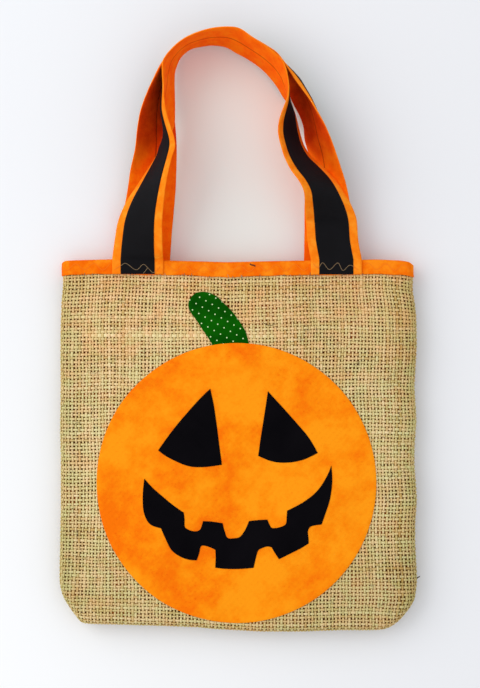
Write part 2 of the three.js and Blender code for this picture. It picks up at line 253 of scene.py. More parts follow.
def cloth_point(s, t, front):
    """Place of a point of the cut cloth on the front or back of the bag, on the cloth's middle."""
    distance, grad_x, grad_y = edge_distance(s, t)
    arc = np.maximum(RIM_LENGTH - distance, 0)
    out = np.interp(arc, RIM_ARC, RIM_OUT) - np.maximum(arc - RIM_LENGTH, 0)
    drop = np.interp(arc, RIM_ARC, RIM_DROP)
    push = (out - arc) / np.maximum(np.hypot(grad_x, grad_y), 1e-6)
    x, y = plan_warp(s - grad_x * push, t - grad_y * push)
    low = back_face(x, y) + BACK_INSET
    high = front_face(x, y) - FRONT_INSET
    seam = SEAM_GAP + SEAM_TURN
    face, side = (high, 1) if front else (low, -1)
    share = np.minimum(drop / RIM_DROP_DEPTH, 1)
    past = np.maximum(drop - RIM_DROP_DEPTH, 0)
    z = face + ((low + high) / 2 + side * seam - face) * share - side * past
    return columns(x, y, z)


def cloth_frame(s, t, front):
    """Place, direction of s, direction of t and outward normal."""
    step = 0.3
    ds = unit(cloth_point(s + step, t, front) - cloth_point(s - step, t, front))
    dt = unit(cloth_point(s, t + step, front) - cloth_point(s, t - step, front))
    normal = unit(np.cross(ds, dt))
    return cloth_point(s, t, front), ds, dt, normal if front else -normal


def cloth_range(place, lengthwise):
    """Both ends, inside the cut cloth, of a line along t at a given s, or along s at a given t."""
    nx, ny, c = np.transpose(EDGES)
    slope, rest = (ny, nx * place + c) if lengthwise else (nx, ny * place + c)
    low, high = [-rest[part] / slope[part] for part in (slope > 0, slope < 0)]
    return max(low), BURLAP_TOP if lengthwise else min(high)


# Meshes
def add_to_scene(name, data, place=(0, 0, 0)):
    obj = bpy.data.objects.new(name, data)
    obj.location = place
    bpy.context.scene.collection.objects.link(obj)
    return obj


def make_object(name, points, faces, material, uv=None, uv_name="OFBake", smooth_faces=True):
    """Mesh object from points in mm. The faces, and their uv, come as arrays of equal corner counts."""
    corners = np.concatenate([np.full(len(group), group.shape[1]) for group in faces])
    starts = np.concatenate([[0], np.cumsum(corners)[:-1]]).astype(np.int32)
    vertices = np.concatenate([group.ravel() for group in faces]).astype(np.int32)
    mesh = bpy.data.meshes.new(name)
    mesh.vertices.add(len(points))
    mesh.vertices.foreach_set("co", (np.asarray(points) * MM).astype(np.float32).ravel())
    mesh.loops.add(len(vertices))
    mesh.polygons.add(len(corners))
    mesh.polygons.foreach_set("loop_start", starts)
    mesh.loops.foreach_set("vertex_index", vertices)
    mesh.polygons.foreach_set("use_smooth", np.full(len(corners), smooth_faces))
    mesh.update(calc_edges=True)
    if uv is not None:
        layer = mesh.uv_layers.new(name=uv_name)
        layer.data.foreach_set("uv", np.concatenate(uv).astype(np.float32).ravel())
    mesh.materials.append(material)
    return add_to_scene(name, mesh)


def set_values(obj, name, values):
    """One number at each vertex, which the material reads by its name."""
    attribute = obj.data.attributes.new(name, "FLOAT", "POINT")
    attribute.data.foreach_set("value", values.ravel().astype(np.float32))


def dress(piece, slot, *nodes):
    """Attaches a piece to the bag's body and hides the nodes of the frame that it stands for; its slot is
    not used.
    """
    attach(piece, "bag")
    if nodes:
        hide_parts(*nodes)


def ring_sides(starts, following, corners):
    """Faces between rings of vertices, from each ring's first number and the next ring's."""
    ring = np.arange(corners)
    ahead = (ring + 1) % corners
    a, b = starts[:, None], following[:, None]
    return columns(a + ring, a + ahead, b + ahead, b + ring).reshape(-1, 4)


def sides_map(around, along):
    """Map of those faces, as (around, along) at each corner."""
    a0, l0 = np.meshgrid(around[:-1], along[:-1])
    a1, l1 = np.meshgrid(around[1:], along[1:])
    return columns(a0, l0, a1, l0, a1, l1, a0, l1).reshape(-1, 2)


class TubeSet:
    """Tubes gathered into one mesh, each with a tone of its own and a strip of the map."""

    def __init__(self, strips):
        self.points, self.tones = [], []
        self.sides, self.ends, self.side_maps, self.end_maps = [], [], [], []
        self.strips = strips

    def add(self, place, across, normal, width, height, section, tone):
        sections, corners = len(place), len(section)
        first = sum(map(len, self.points))
        starts = first + np.arange(sections) * corners
        ring = np.arange(corners)
        self.sides.append(ring_sides(starts[:-1], starts[1:], corners))
        self.ends.append(np.stack([first + ring[::-1], starts[-1] + ring]))
        low, tall = len(self.side_maps) / self.strips, 0.92 / self.strips
        around = low + tall * np.arange(corners + 1) / corners
        self.side_maps.append(sides_map(around, np.linspace(0.01, 0.99, sections))[:, ::-1])
        angle = 2 * math.pi * ring / corners
        disc = (columns(np.cos(angle), np.sin(angle)) + 1) / 2 * (0.008, tall * 0.9)
        self.end_maps.append(np.concatenate([disc + (0.0005, low), disc + (0.991, low)]))
        width, height = width[:, None], height[:, None]
        rows = [place + across * (sx * width) + normal * (sy * height) for sx, sy in section]
        self.points.append(np.stack(rows, axis=1).reshape(-1, 3))
        # Painted shade: the lower corners of each section take a darker tone, for the shade along a thread's
        # sides and underside
        drop = THREAD_EDGE_PAINTED_SHADE * (np.array(section)[:, 1] < 0)
        self.tones.append((np.broadcast_to(tone, sections)[:, None] - drop).ravel())

    def build(self, name, material):
        faces = [np.concatenate(self.sides), np.concatenate(self.ends)]
        uv = self.side_maps + self.end_maps
        obj = make_object(name, np.concatenate(self.points), faces, material, uv)
        set_values(obj, "tone", np.concatenate(self.tones))
        return obj


# Thread sections as shares of half width and half height, from one side over the top to the other
FULL_SECTION = ((-1.0, -0.35), (-0.55, 0.75), (0.55, 0.75), (1.0, -0.35))
BACK_SECTION = ((-1.0, -0.3), (0.0, 0.9), (1.0, -0.3))


# Burlap
def thread_stops(low, high, pitch, local):
    """Places of the threads, with uneven gaps."""
    gaps = 1 + GAP_UNEVENNESS * local.normal(0, 1, int(round((high - low) / pitch)))
    gaps = np.clip(gaps, 0.8, 1.25)
    gaps *= (high - low) / gaps.sum()
    return low + np.cumsum(gaps) - gaps / 2


def thread_path(low, high, stops, pitch, per_crossing):
    """Stations along a thread: a fixed number for each crossing thread, with its two ends."""
    more = pitch * np.arange(1, 4)
    stops = np.concatenate([stops[0] - more[::-1], stops, stops[-1] + more])
    threads = np.arange(len(stops))
    first, last = np.interp([low, high], stops, threads)
    inner = np.arange(math.ceil(first * per_crossing), math.floor(last * per_crossing) + 1) / per_crossing
    inner = inner[(inner > first + 0.1) & (inner < last - 0.1)]
    index = np.concatenate([[first], inner, [last]])
    return np.interp(index, threads, stops), index


def thread_tone(position, local):
    slow = along_noise(position, local, 40)
    fine = along_noise(position, local, 7)
    return 0.5 + THREAD_TONE_SPREAD * local.normal() + 0.014 * slow + 0.03 * fine


def thread_width(base, position, local):
    """Half width along a thread: uneven yarn, now and then with a thick slub."""
    slow = along_noise(position, local, 24)
    fine = along_noise(position, local, 4.5)
    width = base * (1 + 0.07 * local.normal() + 0.06 * slow + 0.09 * fine)
    if local.random() < SLUB_CHANCE:
        middle = local.uniform(position[0], position[-1])
        size = local.uniform(8, 30)
        width = width + base * local.uniform(0.2, 0.5) * np.exp(-(((position - middle) / size) ** 2))
    return np.clip(width, base * 0.55, base * 1.5)


def woven_threads(front, warp, stops, crossing, per_crossing, local):
    """The warps or the wefts of a panel, each passing over and under the threads that cross it."""
    half_width, crossing_pitch = (WARP_HALF_WIDTH, WEFT_PITCH) if warp else (WEFT_HALF_WIDTH, WARP_PITCH)
    thick = int(np.argmin(np.abs(stops - THICK_WEFT_Y)))
    tubes = TubeSet(len(stops))
    for i, stop in enumerate(stops):
        low, high = cloth_range(stop, warp)
        along, index = thread_path(low, high, crossing, crossing_pitch, per_crossing)
        moved = stop + THREAD_WANDER * along_noise(along, local, 9)
        s, t = (moved, along) if warp else (along, moved)
        place, ds, dt, normal = cloth_frame(s, t, front)
        over = (-1) ** i * (1 if warp else -1) * np.cos(math.pi * (index - 3))
        place = place + normal * (WEAVE_AMPLITUDE * over)[:, None]
        width = thread_width(half_width, along, local)
        tone = thread_tone(along, local)
        if front and warp and abs(stop - SLUB_PLACE[0]) < WARP_PITCH / 2:
            width = width * (1 + 0.7 * np.exp(-(((along - SLUB_PLACE[1]) / 5) ** 2)))
        if front and not warp and abs(i - thick) <= 1:
            stretch = smooth((along + 136) / 30) * smooth((60 - along) / 50) * (1 if i == thick else 0.5)
            width = width * (1 + 0.45 * stretch)
            tone = tone + 0.12 * stretch
        height = THREAD_HALF_HEIGHT * (0.75 + 0.25 * width / half_width)
        across = (ds if warp else -dt) * (1 if front else -1)
        tubes.add(place, across, normal, width, height, FULL_SECTION if front else BACK_SECTION, tone)
    return tubes


def weave_panel(name, front, per_crossing, warp_material, weft_material):
    """Both thread directions of a burlap panel, woven over and under each other."""
    local = np.random.default_rng(101 if front else 202)
    reach = HALF_WIDTH + CUT_MARGIN - THREAD_MARGIN
    foot = BAG_BOTTOM - CUT_MARGIN + THREAD_MARGIN
    warps = thread_stops(-reach, reach, WARP_PITCH, local)
    wefts = thread_stops(foot, BURLAP_TOP, WEFT_PITCH, local)
    warp_tubes = woven_threads(front, True, warps, wefts, per_crossing, local)
    weft_tubes = woven_threads(front, False, wefts, warps, per_crossing, local)
    dress(warp_tubes.build(name + "_warp", warp_material), "burlap", name)
    dress(weft_tubes.build(name + "_weft", weft_material), "burlap")


# Materials
COTTON_SPECULAR = 0.04
COTTON_PITCH = 0.36


def hex_color(text):
    """Linear colour of a screen colour written as six hex digits."""
    values = [int(text[i:i + 2], 16) / 255 for i in (0, 2, 4)]
    linear = [v / 12.92 if v <= 0.04045 else ((v + 0.055) / 1.055) ** 2.4 for v in values]
    return (*linear, 1.0)


class Nodes:
    """Short way to build shader nodes. An input is a number, a colour in hex or another node's socket."""

    def __init__(self, tree):
        self.tree = tree

    def feed(self, socket, value):
        if isinstance(value, bpy.types.NodeSocket):
            self.tree.links.new(value, socket)
        else:
            socket.default_value = hex_color(value) if isinstance(value, str) else value

    def add(self, kind, inputs=None, output=0, **settings):
        """Output socket of a new node; the inputs are told apart by name, or by number."""
        node = self.tree.nodes.new("ShaderNode" + kind)
        for key, value in settings.items():
            setattr(node, key, value)
        for key, value in (inputs or {}).items():
            self.feed(node.inputs[key], value)
        return node.outputs[output]

    def math(self, operation, a, b=0.0, c=0.0, clamp=False):
        return self.add("Math", {0: a, 1: b, 2: c}, operation=operation, use_clamp=clamp)

    def times(self, a, b, plus=None):
        """a times b, and then plus a third value."""
        return self.math("MULTIPLY", a, b) if plus is None else self.math("MULTIPLY_ADD", a, b, plus)

    def vector(self, operation, a, b=(0, 0, 0)):
        output = "Value" if operation in ("DOT_PRODUCT", "LENGTH") else "Vector"
        return self.add("VectorMath", {0: a, 1: b}, output, operation=operation)

    def parts(self, vector):
        x = self.add("SeparateXYZ", {0: vector})
        return x, x.node.outputs[1]

    def between(self, value, low, high):
        """Smooth share from 0 at low to 1 at high."""
        inputs = {"Value": value, "From Min": low, "From Max": high}
        return self.add("MapRange", inputs, interpolation_type="SMOOTHSTEP")

    def outside(self, value, low, high):
        """Smooth share from 1 at low to 0 at high."""
        return self.math("SUBTRACT", 1.0, self.between(value, low, high))

    def scaled(self, vector, scale, turn=0.0):
        return self.add("Mapping", {"Vector": vector, "Scale": scale, "Rotation": (0, 0, turn)})

    def noise(self, vector, scale=1.0, detail=2.0, roughness=0.5):
        inputs = {"Vector": vector, "Scale": scale, "Detail": detail, "Roughness": roughness}
        return self.add("TexNoise", inputs)

    def plain_weave(self, vector, pitch_x=COTTON_PITCH, pitch_y=COTTON_PITCH):
        """Height of a plain weave with the given distances between threads, in mm."""
        x, y = [self.math("SINE", self.times(part, math.pi / (pitch * MM)))
                for part, pitch in zip(self.parts(vector), (pitch_x, pitch_y))]
        return self.times(x, y)

    def ramp(self, factor, stops):
        color = self.add("ValToRGB", {"Fac": factor})
        elements = color.node.color_ramp.elements
        while len(elements) < len(stops):
            elements.new(0.5)
        for element, (position, shade) in zip(elements, stops):
            element.position = position
            element.color = hex_color(shade)
        return color

    def mix(self, factor, a, b, blend="MIX"):
        inputs = {"Factor": factor, "A": a, "B": b}
        return self.add("Mix", inputs, "Result", data_type="RGBA", blend_type=blend)

    def attribute(self, name):
        return self.add("Attribute", output="Fac", attribute_name=name)


class Finish(Nodes):
    """Nodes of a material around its one shader."""

    def __init__(self, name, roughness, specular):
        self.material = bpy.data.materials.new(name)
        self.material.use_nodes = True
        super().__init__(self.material.node_tree)
        self.tree.nodes.clear()
        self.surface = self.add("BsdfPrincipled", {"Roughness": roughness, "Specular IOR Level": specular})
        output = self.tree.nodes.new("ShaderNodeOutputMaterial")
        self.feed(output.inputs["Surface"], self.surface)

    def place(self):
        return self.add("TexCoord", output="Object")

    def cloth_map(self):
        return self.add("UVMap", uv_map="cloth_map")

    def done(self, color, bump=None, sheen=()):
        """The material with its colour, bump (height, mm, strength) and sheen (weight, roughness, tint)."""
        inputs = self.surface.node.inputs
        self.feed(inputs["Base Color"], color)
        if bump:
            height, distance, strength = bump
            relief = {"Strength": strength, "Distance": distance * MM, "Height": height}
            self.feed(inputs["Normal"], self.add("Bump", relief))
        for part, value in zip(("Weight", "Roughness", "Tint"), sheen):
            self.feed(inputs["Sheen " + part], value)
        return self.material


def burlap_material(name, along_y):
    """Straw yarn: colour by thread, darker and lighter stretches, twisted fibres."""
    m = Finish(name, 0.95, 0.08)
    place = m.place()
    x, y = m.parts(place)
    scale, turn = ((2600, 420, 2600), 0.32) if along_y else ((420, 2600, 2600), -0.32)
    fibre = m.noise(m.scaled(place, scale, turn), 1.0, 3.0, 0.65)
    value = m.math("ADD", m.times(m.noise(place, 24.0, 3.0), 0.05, -0.005), m.attribute("tone"))
    value = m.math("ADD", value, m.times(fibre, 0.3, -0.15))
    shades = [(0.06, "743A04"), (0.28, "BE943E"), (0.48, "EAD5A4"), (0.7, "F9E9C2"), (0.95, "FBF1D2")]
    straw = m.ramp(value, shades)
    # Rosy tint: random peach patches, and over the upper part of the bag a painted reflection of orange
    # light from the binding
    rosy_patches_and_reflection = m.times(m.between(m.noise(place, 48.0, 3.0), 0.5, 0.64), 0.34)
    rosy_patches_and_reflection = m.math("MULTIPLY_ADD", m.between(y, 0.03, 0.12), 0.45, rosy_patches_and_reflection, clamp=True)
    hue = m.mix(m.between(m.noise(place, 150.0), 0.38, 0.62), "F4FAEA", "FFF5EC")
    # Painted shade: greenish grey towards the side edges, where the panel rolls down to its seams
    outer = m.times(m.between(m.math("ABSOLUTE", x), 0.112, 0.135), 0.55)
    # Painted shade: the right side a little darker, away from the light at the left
    right_side_painted_shade = m.times(m.between(x, -0.06, 0.12), 0.6)
    foot = m.times(m.between(y, -0.13, -0.03), -0.8, 0.8)
    tints = ((rosy_patches_and_reflection, "FFE3CD"), (1.0, hue), (outer, "CCD6B8"), (right_side_painted_shade, "F2F2EC"), (foot, "ECECE4"))
    for share, tint in tints:
        straw = m.mix(share, straw, tint, "MULTIPLY")
    return m.done(straw, (fibre, 0.16, 0.7), (0.05, 0.6, "F0E2BC"))


def lining_material():
    m = Finish("lining_cotton", 0.92, 0.05)
    place = m.place()
    # The lining's orange cotton is painted a dark red-brown: partly its own colour, partly painted shade for
    # the shade seen through the weave's holes
    color = m.ramp(m.noise(place, 30.0, 4.0), [(0.3, "8A3600"), (0.55, "9C4402"), (0.75, "C8640E")])
    return m.done(color, (m.plain_weave(place, 0.42, 0.42), 0.05, 0.5))


def clouded(m, place, shades, speck, size):
    """Printed colour: soft clouds about as large as size in mm, with small darker specks."""
    cloud = m.noise(place, 1000 / size, 9.0, 0.66)
    color = m.ramp(cloud, list(zip((0.39, 0.5, 0.6), shades)))
    spots = m.between(m.noise(place, 560.0, 3.0, 0.75), 0.56, 0.68)
    near_dark = m.times(m.outside(cloud, 0.38, 0.56), 0.5, 0.22)
    return m.mix(m.times(spots, near_dark), color, speck)


def band_material():
    """Mottled orange cotton of the binding."""
    m = Finish("band_cotton", 0.9, COTTON_SPECULAR)
    place = m.cloth_map()
    color = clouded(m, place, ("F46603", "F87606", "FE8C15"), "E45800", 16.0)
    relief = m.times(m.plain_weave(place), 0.08, m.noise(place, 150.0, 3.0, 0.6))
    return m.done(color, (relief, 0.7, 0.55), (0.06, 0.5, "FF9A40"))


def strap_material():
    """Orange cotton strap: bright outer face, and an inner face painted deeper red, partly its own colour
    and partly painted shade, with the dark line of its seam.
    """
    m = Finish("strap_cotton", 0.9, COTTON_SPECULAR)
    place = m.cloth_map()
    outer = clouded(m, place, ("F97C0E", "FD8716", "FF9522"), "E8700C", 8.0)
    # Painted shade: the inner face is a deeper red than the outer face, and deepest red where the rear strap
    # lies in shade
    low = clouded(m, place, ("D83802", "E24004", "EC4A06"), "C43002", 12.0)
    high = clouded(m, place, ("FA6404", "FF7006", "FF7E0A"), "EE5802", 12.0)
    inner = m.mix(m.attribute("painted_deep_shade"), high, low)
    color = m.mix(m.attribute("inner_face"), outer, inner)
    color = m.mix(m.times(m.attribute("seam"), 0.75), color, "8A2704")
    crumple = m.noise(m.scaled(place, (90, 40, 90)), 1.0, 3.0, 0.55)
    relief = m.times(m.plain_weave(place), 0.06, crumple)
    return m.done(color, (relief, 0.9, 0.5), (0.06, 0.5, "FF8A30"))


def ribbon_material():
    """Black ribbon with fine ribs across it and a faint cool sheen."""
    m = Finish("ribbon_grosgrain", 0.7, 0.1)
    place = m.cloth_map()
    rib = m.math("SINE", m.times(m.parts(place)[1], 2 * math.pi / (0.62 * MM)))
    color = m.ramp(m.noise(place, 60.0, 3.0), [(0.3, "070609"), (0.7, "0B0A0E")])
    relief = m.times(rib, 0.09, m.noise(m.scaled(place, (60, 26, 60))))
    return m.done(color, (relief, 0.8, 0.55), (0.05, 0.4, "B8BED2"))


def pumpkin_material():
    """Mottled orange cotton, with the burlap under it showing faintly in the surface."""
    m = Finish("pumpkin_cotton_cloth", 0.9, COTTON_SPECULAR)
    place = m.place()
    color = clouded(m, place, ("F87405", "FC8A09", "FF9912"), "EC6202", 34.0)
    slack = m.times(m.plain_weave(place, WARP_PITCH, WEFT_PITCH), 0.14, m.noise(place, 45.0, 3.0))
    relief = m.times(m.plain_weave(place), 0.05, slack)
    return m.done(color, (relief, 0.9, 0.5), (0.06, 0.5, "FFA040"))


def thin_cotton(m, place):
    """Bump of thin cotton on burlap, whose coarse weave shows through the fine one."""
    return m.times(m.plain_weave(place), 0.4, m.plain_weave(place, WARP_PITCH, WEFT_PITCH)), 0.12, 0.6


def black_cotton_material():
    m = Finish("black_cotton_cloth", 0.95, COTTON_SPECULAR)
    place = m.place()
    color = m.ramp(m.noise(place, 40.0, 4.0), [(0.3, "050407"), (0.7, "0A080C")])
    lint = m.between(m.noise(m.scaled(place, (900, 300, 600)), 1.0, 2.0, 0.7), 0.7, 0.8)
    return m.done(color, thin_cotton(m, place), (m.times(lint, 0.06, 0.015), 0.5, "C8C4D4"))


# Lattice of dots on the green cotton
DOT_ORIGIN = (-27.9, 111.0)
DOT_TURN = math.radians(-29.5)
DOT_PITCH = 5.42
DOT_RADIUS = 0.47


def green_material():
    """Leaf green cotton with a square lattice of small pale dots."""
    m = Finish("green_cotton_cloth", 0.92, COTTON_SPECULAR)
    place = m.place()
    green = m.ramp(m.noise(place, 70.0, 4.0, 0.6), [(0.28, "034100"), (0.5, "065000"), (0.72, "095F00")])
    moved = m.vector("SUBTRACT", place, (DOT_ORIGIN[0] * MM, DOT_ORIGIN[1] * MM, 0))
    squares = []
    for turn in (DOT_TURN, DOT_TURN + math.pi / 2):
        axis = (math.cos(turn) / (DOT_PITCH * MM), math.sin(turn) / (DOT_PITCH * MM), 0)
        along = m.math("FRACT", m.math("ADD", m.vector("DOT_PRODUCT", moved, axis), 0.5))
        nearest = m.math("SUBTRACT", along, 0.5)
        squares.append(m.times(nearest, nearest))
    radius = DOT_RADIUS / DOT_PITCH
    dot = m.outside(m.math("SQRT", m.math("ADD", *squares)), radius * 0.75, radius * 1.25)
    return m.done(m.mix(dot, green, "D8F2B8"), thin_cotton(m, place), (0.05, 0.5, "80B060"))


def thread_material(name, dark, light):
    m = Finish(name, 0.75, 0.2)
    fibre = m.noise(m.scaled(m.place(), (2500, 900, 2500)))
    return m.done(m.ramp(m.attribute("tone"), [(0.25, dark), (0.75, light)]), (fibre, 0.06, 0.5))


def floor_material():
    """Pale table with painted light: a little brighter towards the lower left, and a little greener inside
    the straps to offset the orange light they throw.
    """
    m = Finish("table_top", 0.75, 0.1)
    place = m.place()
    x, y = m.parts(place)
    # Painted light: the table a little brighter towards the lower left
    side = m.between(x, -0.22, 0.22)
    table = m.mix(m.between(y, -0.2, 0.35), m.mix(side, "F8F9FB", "EDEEF2"), m.mix(side, "EEF0F4", "ECEDF1"))
    # Painted tint inside the straps, against the orange light they reflect onto the table
    from_arch = m.vector("ADD", m.vector("MULTIPLY", place, (12.5, 9.5, 0)), (0.0, -2.0, 0.0))
    painted_bounce_offset = m.outside(m.vector("LENGTH", from_arch), 0.55, 1.15)
    return m.done(m.mix(painted_bounce_offset, table, "EDF5F2"))


# Closed bodies
def ring_mesh(name, rings, section, along, material, closed_path):
    """Closed body through rings of one section; closed_path joins the last ring to the first."""
    count, size = rings.shape[:2]
    starts = np.arange(count) * size
    around = lengths_along(np.vstack([section, section[:1]]))
    following = np.roll(starts, -1)
    if not closed_path:
        starts, following = starts[:-1], following[:-1]
    faces = [ring_sides(starts, following, size)]
    uv = [sides_map(around, along) * MM]
    if not closed_path:
        k = np.arange(size // 2 - 1)
        quad = columns(k, k + 1, size - 2 - k, size - 1 - k)
        faces += [quad[:, ::-1], quad + (count - 1) * size]
        for part, at in ((quad[:, ::-1], along[0]), (quad, along[-1])):
            uv.append(columns(around[part.ravel()], np.full(part.size, at)) * MM)
    return make_object(name, rings.reshape(-1, 3), faces, material, uv, "cloth_map")


# Lining
LINING_TOP = 136.8
LINING_THICK = 0.4
LINING_NEAR = 0.62
LINING_FAR = 1.9
LINING_INSET = 1.2
LINING_ROWS = 110


def lining_panel(name, front, material):
    """Orange cloth behind the burlap, close to it in some places and further away in others."""
    heights = np.linspace(BAG_BOTTOM - CUT_MARGIN + LINING_INSET, LINING_TOP, LINING_ROWS)
    low, high = np.transpose([cloth_range(t, False) for t in heights])[..., None]
    s = low + LINING_INSET + (high - low - 2 * LINING_INSET) * np.linspace(0, 1, LINING_ROWS)
    t = np.broadcast_to(heights[:, None], s.shape)
    place, _, _, normal = cloth_frame(s, t, front)
    distance = edge_distance(s, t)[0]
    loose = smooth(0.55 + 0.9 * waves(s, t, 61, 22, 9))
    gap = LINING_NEAR + (LINING_FAR - LINING_NEAR) * loose * smooth(distance / 16)
    outer = place - normal * (gap * smooth((distance + 6) / 10))[..., None]
    inner = outer - normal * (LINING_THICK * smooth((distance + 4) / 10))[..., None]
    if not front:
        outer, inner = inner, outer
    rings = np.concatenate([outer, inner[:, ::-1]], axis=1)
    along = lengths_along(rings[:, 0])
    dress(ring_mesh(name + "_cloth", rings, rings[0], along, material, False), "lining", name)


# Binding folded over the mouth's edge
MOUTH_HALF = 131.9
MOUTH_CENTRE = 0.62
MOUTH_FRONT_Z = 17.3
MOUTH_BACK_Z = 3.1
MOUTH_ROUND = 6.3
BINDING_LEGS_APART = 3.3
BINDING_FOLD = 1.5
CORNER_DROP = 1.4
CORNER_X = 129.0
CORNER_WIDTH = 4.2
FRONT_STEPS, BACK_STEPS, ROUND_STEPS = 149, 109, 18


def mouth_loop():
    """Places and outward directions (x, z) round the mouth, and the distance round it."""
    straight = MOUTH_HALF - MOUTH_ROUND
    across = np.linspace(-straight, straight, FRONT_STEPS + 1)[:-1]
    back = np.linspace(straight, -straight, BACK_STEPS + 1)[:-1]
    turn = np.linspace(0, math.pi, ROUND_STEPS + 1)[:-1]
    core = np.concatenate([across, turn * 0 + straight, back, turn * 0 - straight])
    angle = np.concatenate([across * 0, turn, back * 0 + math.pi, turn + math.pi])
    nx, nz = np.sin(angle), np.cos(angle)
    x = core + MOUTH_ROUND * nx + MOUTH_CENTRE
    z = (MOUTH_FRONT_Z + MOUTH_BACK_Z) / 2 + (MOUTH_FRONT_Z - MOUTH_BACK_Z) / 2 * nz
    return x, z, nx, nz, lengths_along(columns(x, z))


def mouth_bulge(around):
    return 0.22 * waves(around, 0, 73, 14)


def binding_profile():
    """Middle line of the folded strip as (offset inward, height under the fold's top)."""
    half = BINDING_LEGS_APART / 2
    outer = [(0.0, y) for y in np.linspace(-BINDING_DEPTH + 0.3, -BINDING_FOLD, 12)]
    fold = [(half - half * math.cos(angle), -BINDING_FOLD + (BINDING_FOLD - 0.4) * math.sin(angle))
            for angle in np.linspace(0, math.pi, 11)[1:-1]]
    inner = [(BINDING_LEGS_APART, y) for y in np.linspace(-BINDING_FOLD, -BINDING_DEPTH + 0.5, 8)]
    return np.array(outer + fold + inner)


def outline_of(line, half):
    """Ring of points round a middle line, with rounded ends."""
    ahead = unit(np.gradient(line, axis=0))
    side = columns(-ahead[:, 1], ahead[:, 0]) * half[:, None]
    start_tip = line[:1] - ahead[:1] * half[0] * 0.6
    end_tip = line[-1:] + ahead[-1:] * half[-1] * 0.6
    return np.concatenate([line + side, end_tip, (line - side)[::-1], start_tip])


def add_binding(material):
    x, z, nx, nz, around = (part[:, None] for part in mouth_loop())
    line = binding_profile()
    hem = np.exp(-((line[:, 1] + BINDING_DEPTH) / 1.4) ** 2)
    profile = outline_of(line, BINDING_THICK / 2 * (1 + 0.35 * hem))[::-1]
    height = profile[:, 1]
    depth = -height / BINDING_DEPTH
    pucker = 0.28 * waves(around, 0, 71, 9) + 0.2 * waves(around, 0, 72, 26)
    corner = CORNER_DROP * smooth((np.abs(x) - CORNER_X) / CORNER_WIDTH)
    inward = profile[:, 0] + BINDING_THICK / 2 - mouth_bulge(around) * np.sin(math.pi * clamp01(depth))
    y = HEM_TOP + height + hem_shift(x) + pucker * depth - corner * (1 - depth)
    rings = columns(x - nx * inward, y, z - nz * inward)
    along = np.append(around, around[-1] + 2.0)
    dress(ring_mesh("hem_band", rings, profile, along, material, True), "orange_cotton", "hem_binding")


# Handles
STRAP_HALF = 19.05
STRAP_FACE = 0.6
RIBBON_HALF = 12.7
RIBBON_LOW = STRAP_FACE + 0.04
RIBBON_FACE = RIBBON_LOW + 0.45
FRONT_SPACING = 148.0
REAR_SPACING = 139.0
FRONT_ROOT_Z = 18.2
REAR_ROOT_Z = 2.2
ROOT_Y = HEM_TOP + 0.5

# A handle's cross sections from the left end to the right: place of the edge near the camera, place of
# the edge near the table, height of that edge, and how far the strip is curled across, in degrees
FRONT_STATIONS = (
    (-55.1, 152.9, -91.1, 153.6, 18, 0), (-54.9, 167.3, -88.3, 168.6, 17.5, 0),
    (-53.4, 182.2, -82.1, 182.8, 16.5, 0), (-50.9, 197.6, -71.6, 198.5, 16.5, 8),
    (-47.6, 211.4, -61.3, 214.4, 14, 22), (-45.2, 219.6, -56.9, 222.8, 12.5, 45),
    (-45.9, 227.0, -51.7, 230.5, 11, 62), (-48.8, 236.0, -47.3, 239.7, 9.5, 75),
    (-52.1, 247.1, -46.6, 251.1, 8.2, 75), (-53.4, 256.6, -46.8, 261.0, 7.3, 50),
    (-53.7, 266.0, -47.1, 270.8, 7, 25), (-54.4, 274.8, -46.9, 279.9, 6.7, 10),
    (-53.9, 283.3, -44.9, 286.7, 6.5, 0), (-48.1, 291.2, -42.1, 291.9, 6.5, 0),
    (-39.7, 298.4, -36.1, 297.3, 6.5, 0), (-29.9, 303.3, -28.6, 299.6, 6.5, 0),
    (-17.5, 306.9, -18.4, 300.8, 6.5, 0), (-5.2, 307.9, -8.3, 299.3, 6.5, 0),
    (2.6, 306.5, -0.4, 294.9, 6.5, 0), (11.2, 300.5, 7.1, 291.0, 6.5, 0),
    (19.8, 295.0, 15.8, 285.2, 6.5, 0), (27.1, 289.5, 21.8, 279.9, 6.5, 0),
    (32.2, 284.9, 26.5, 274.5, 6.3, 0), (35.6, 277.9, 30.8, 268.7, 6, 4),
    (37.5, 267.5, 34.2, 263.4, 4.2, 8), (37.5, 259.4, 37.1, 259.4, 2.6, 12),
    (35.6, 252.9, 40.5, 255.9, 1.6, 16), (33.0, 246.5, 43.5, 250.3, 1.4, 14),
    (30.9, 239.3, 45.6, 242.7, 1.6, 10), (30.4, 231.3, 47.7, 234.0, 3, 8),
    (32.1, 222.4, 50.5, 224.8, 6.5, 6), (34.8, 213.0, 55.8, 216.0, 11.5, 4),
    (39.4, 203.4, 63.8, 208.5, 17, 0), (45.4, 194.7, 72.6, 199.0, 22, 0),
    (48.9, 187.4, 79.6, 188.6, 22.5, 0), (50.0, 178.4, 85.6, 178.4, 20.5, 0),
    (51.2, 168.5, 89.4, 167.7, 19, 0), (52.3, 153.6, 90.6, 152.9, 18.2, 0),
)
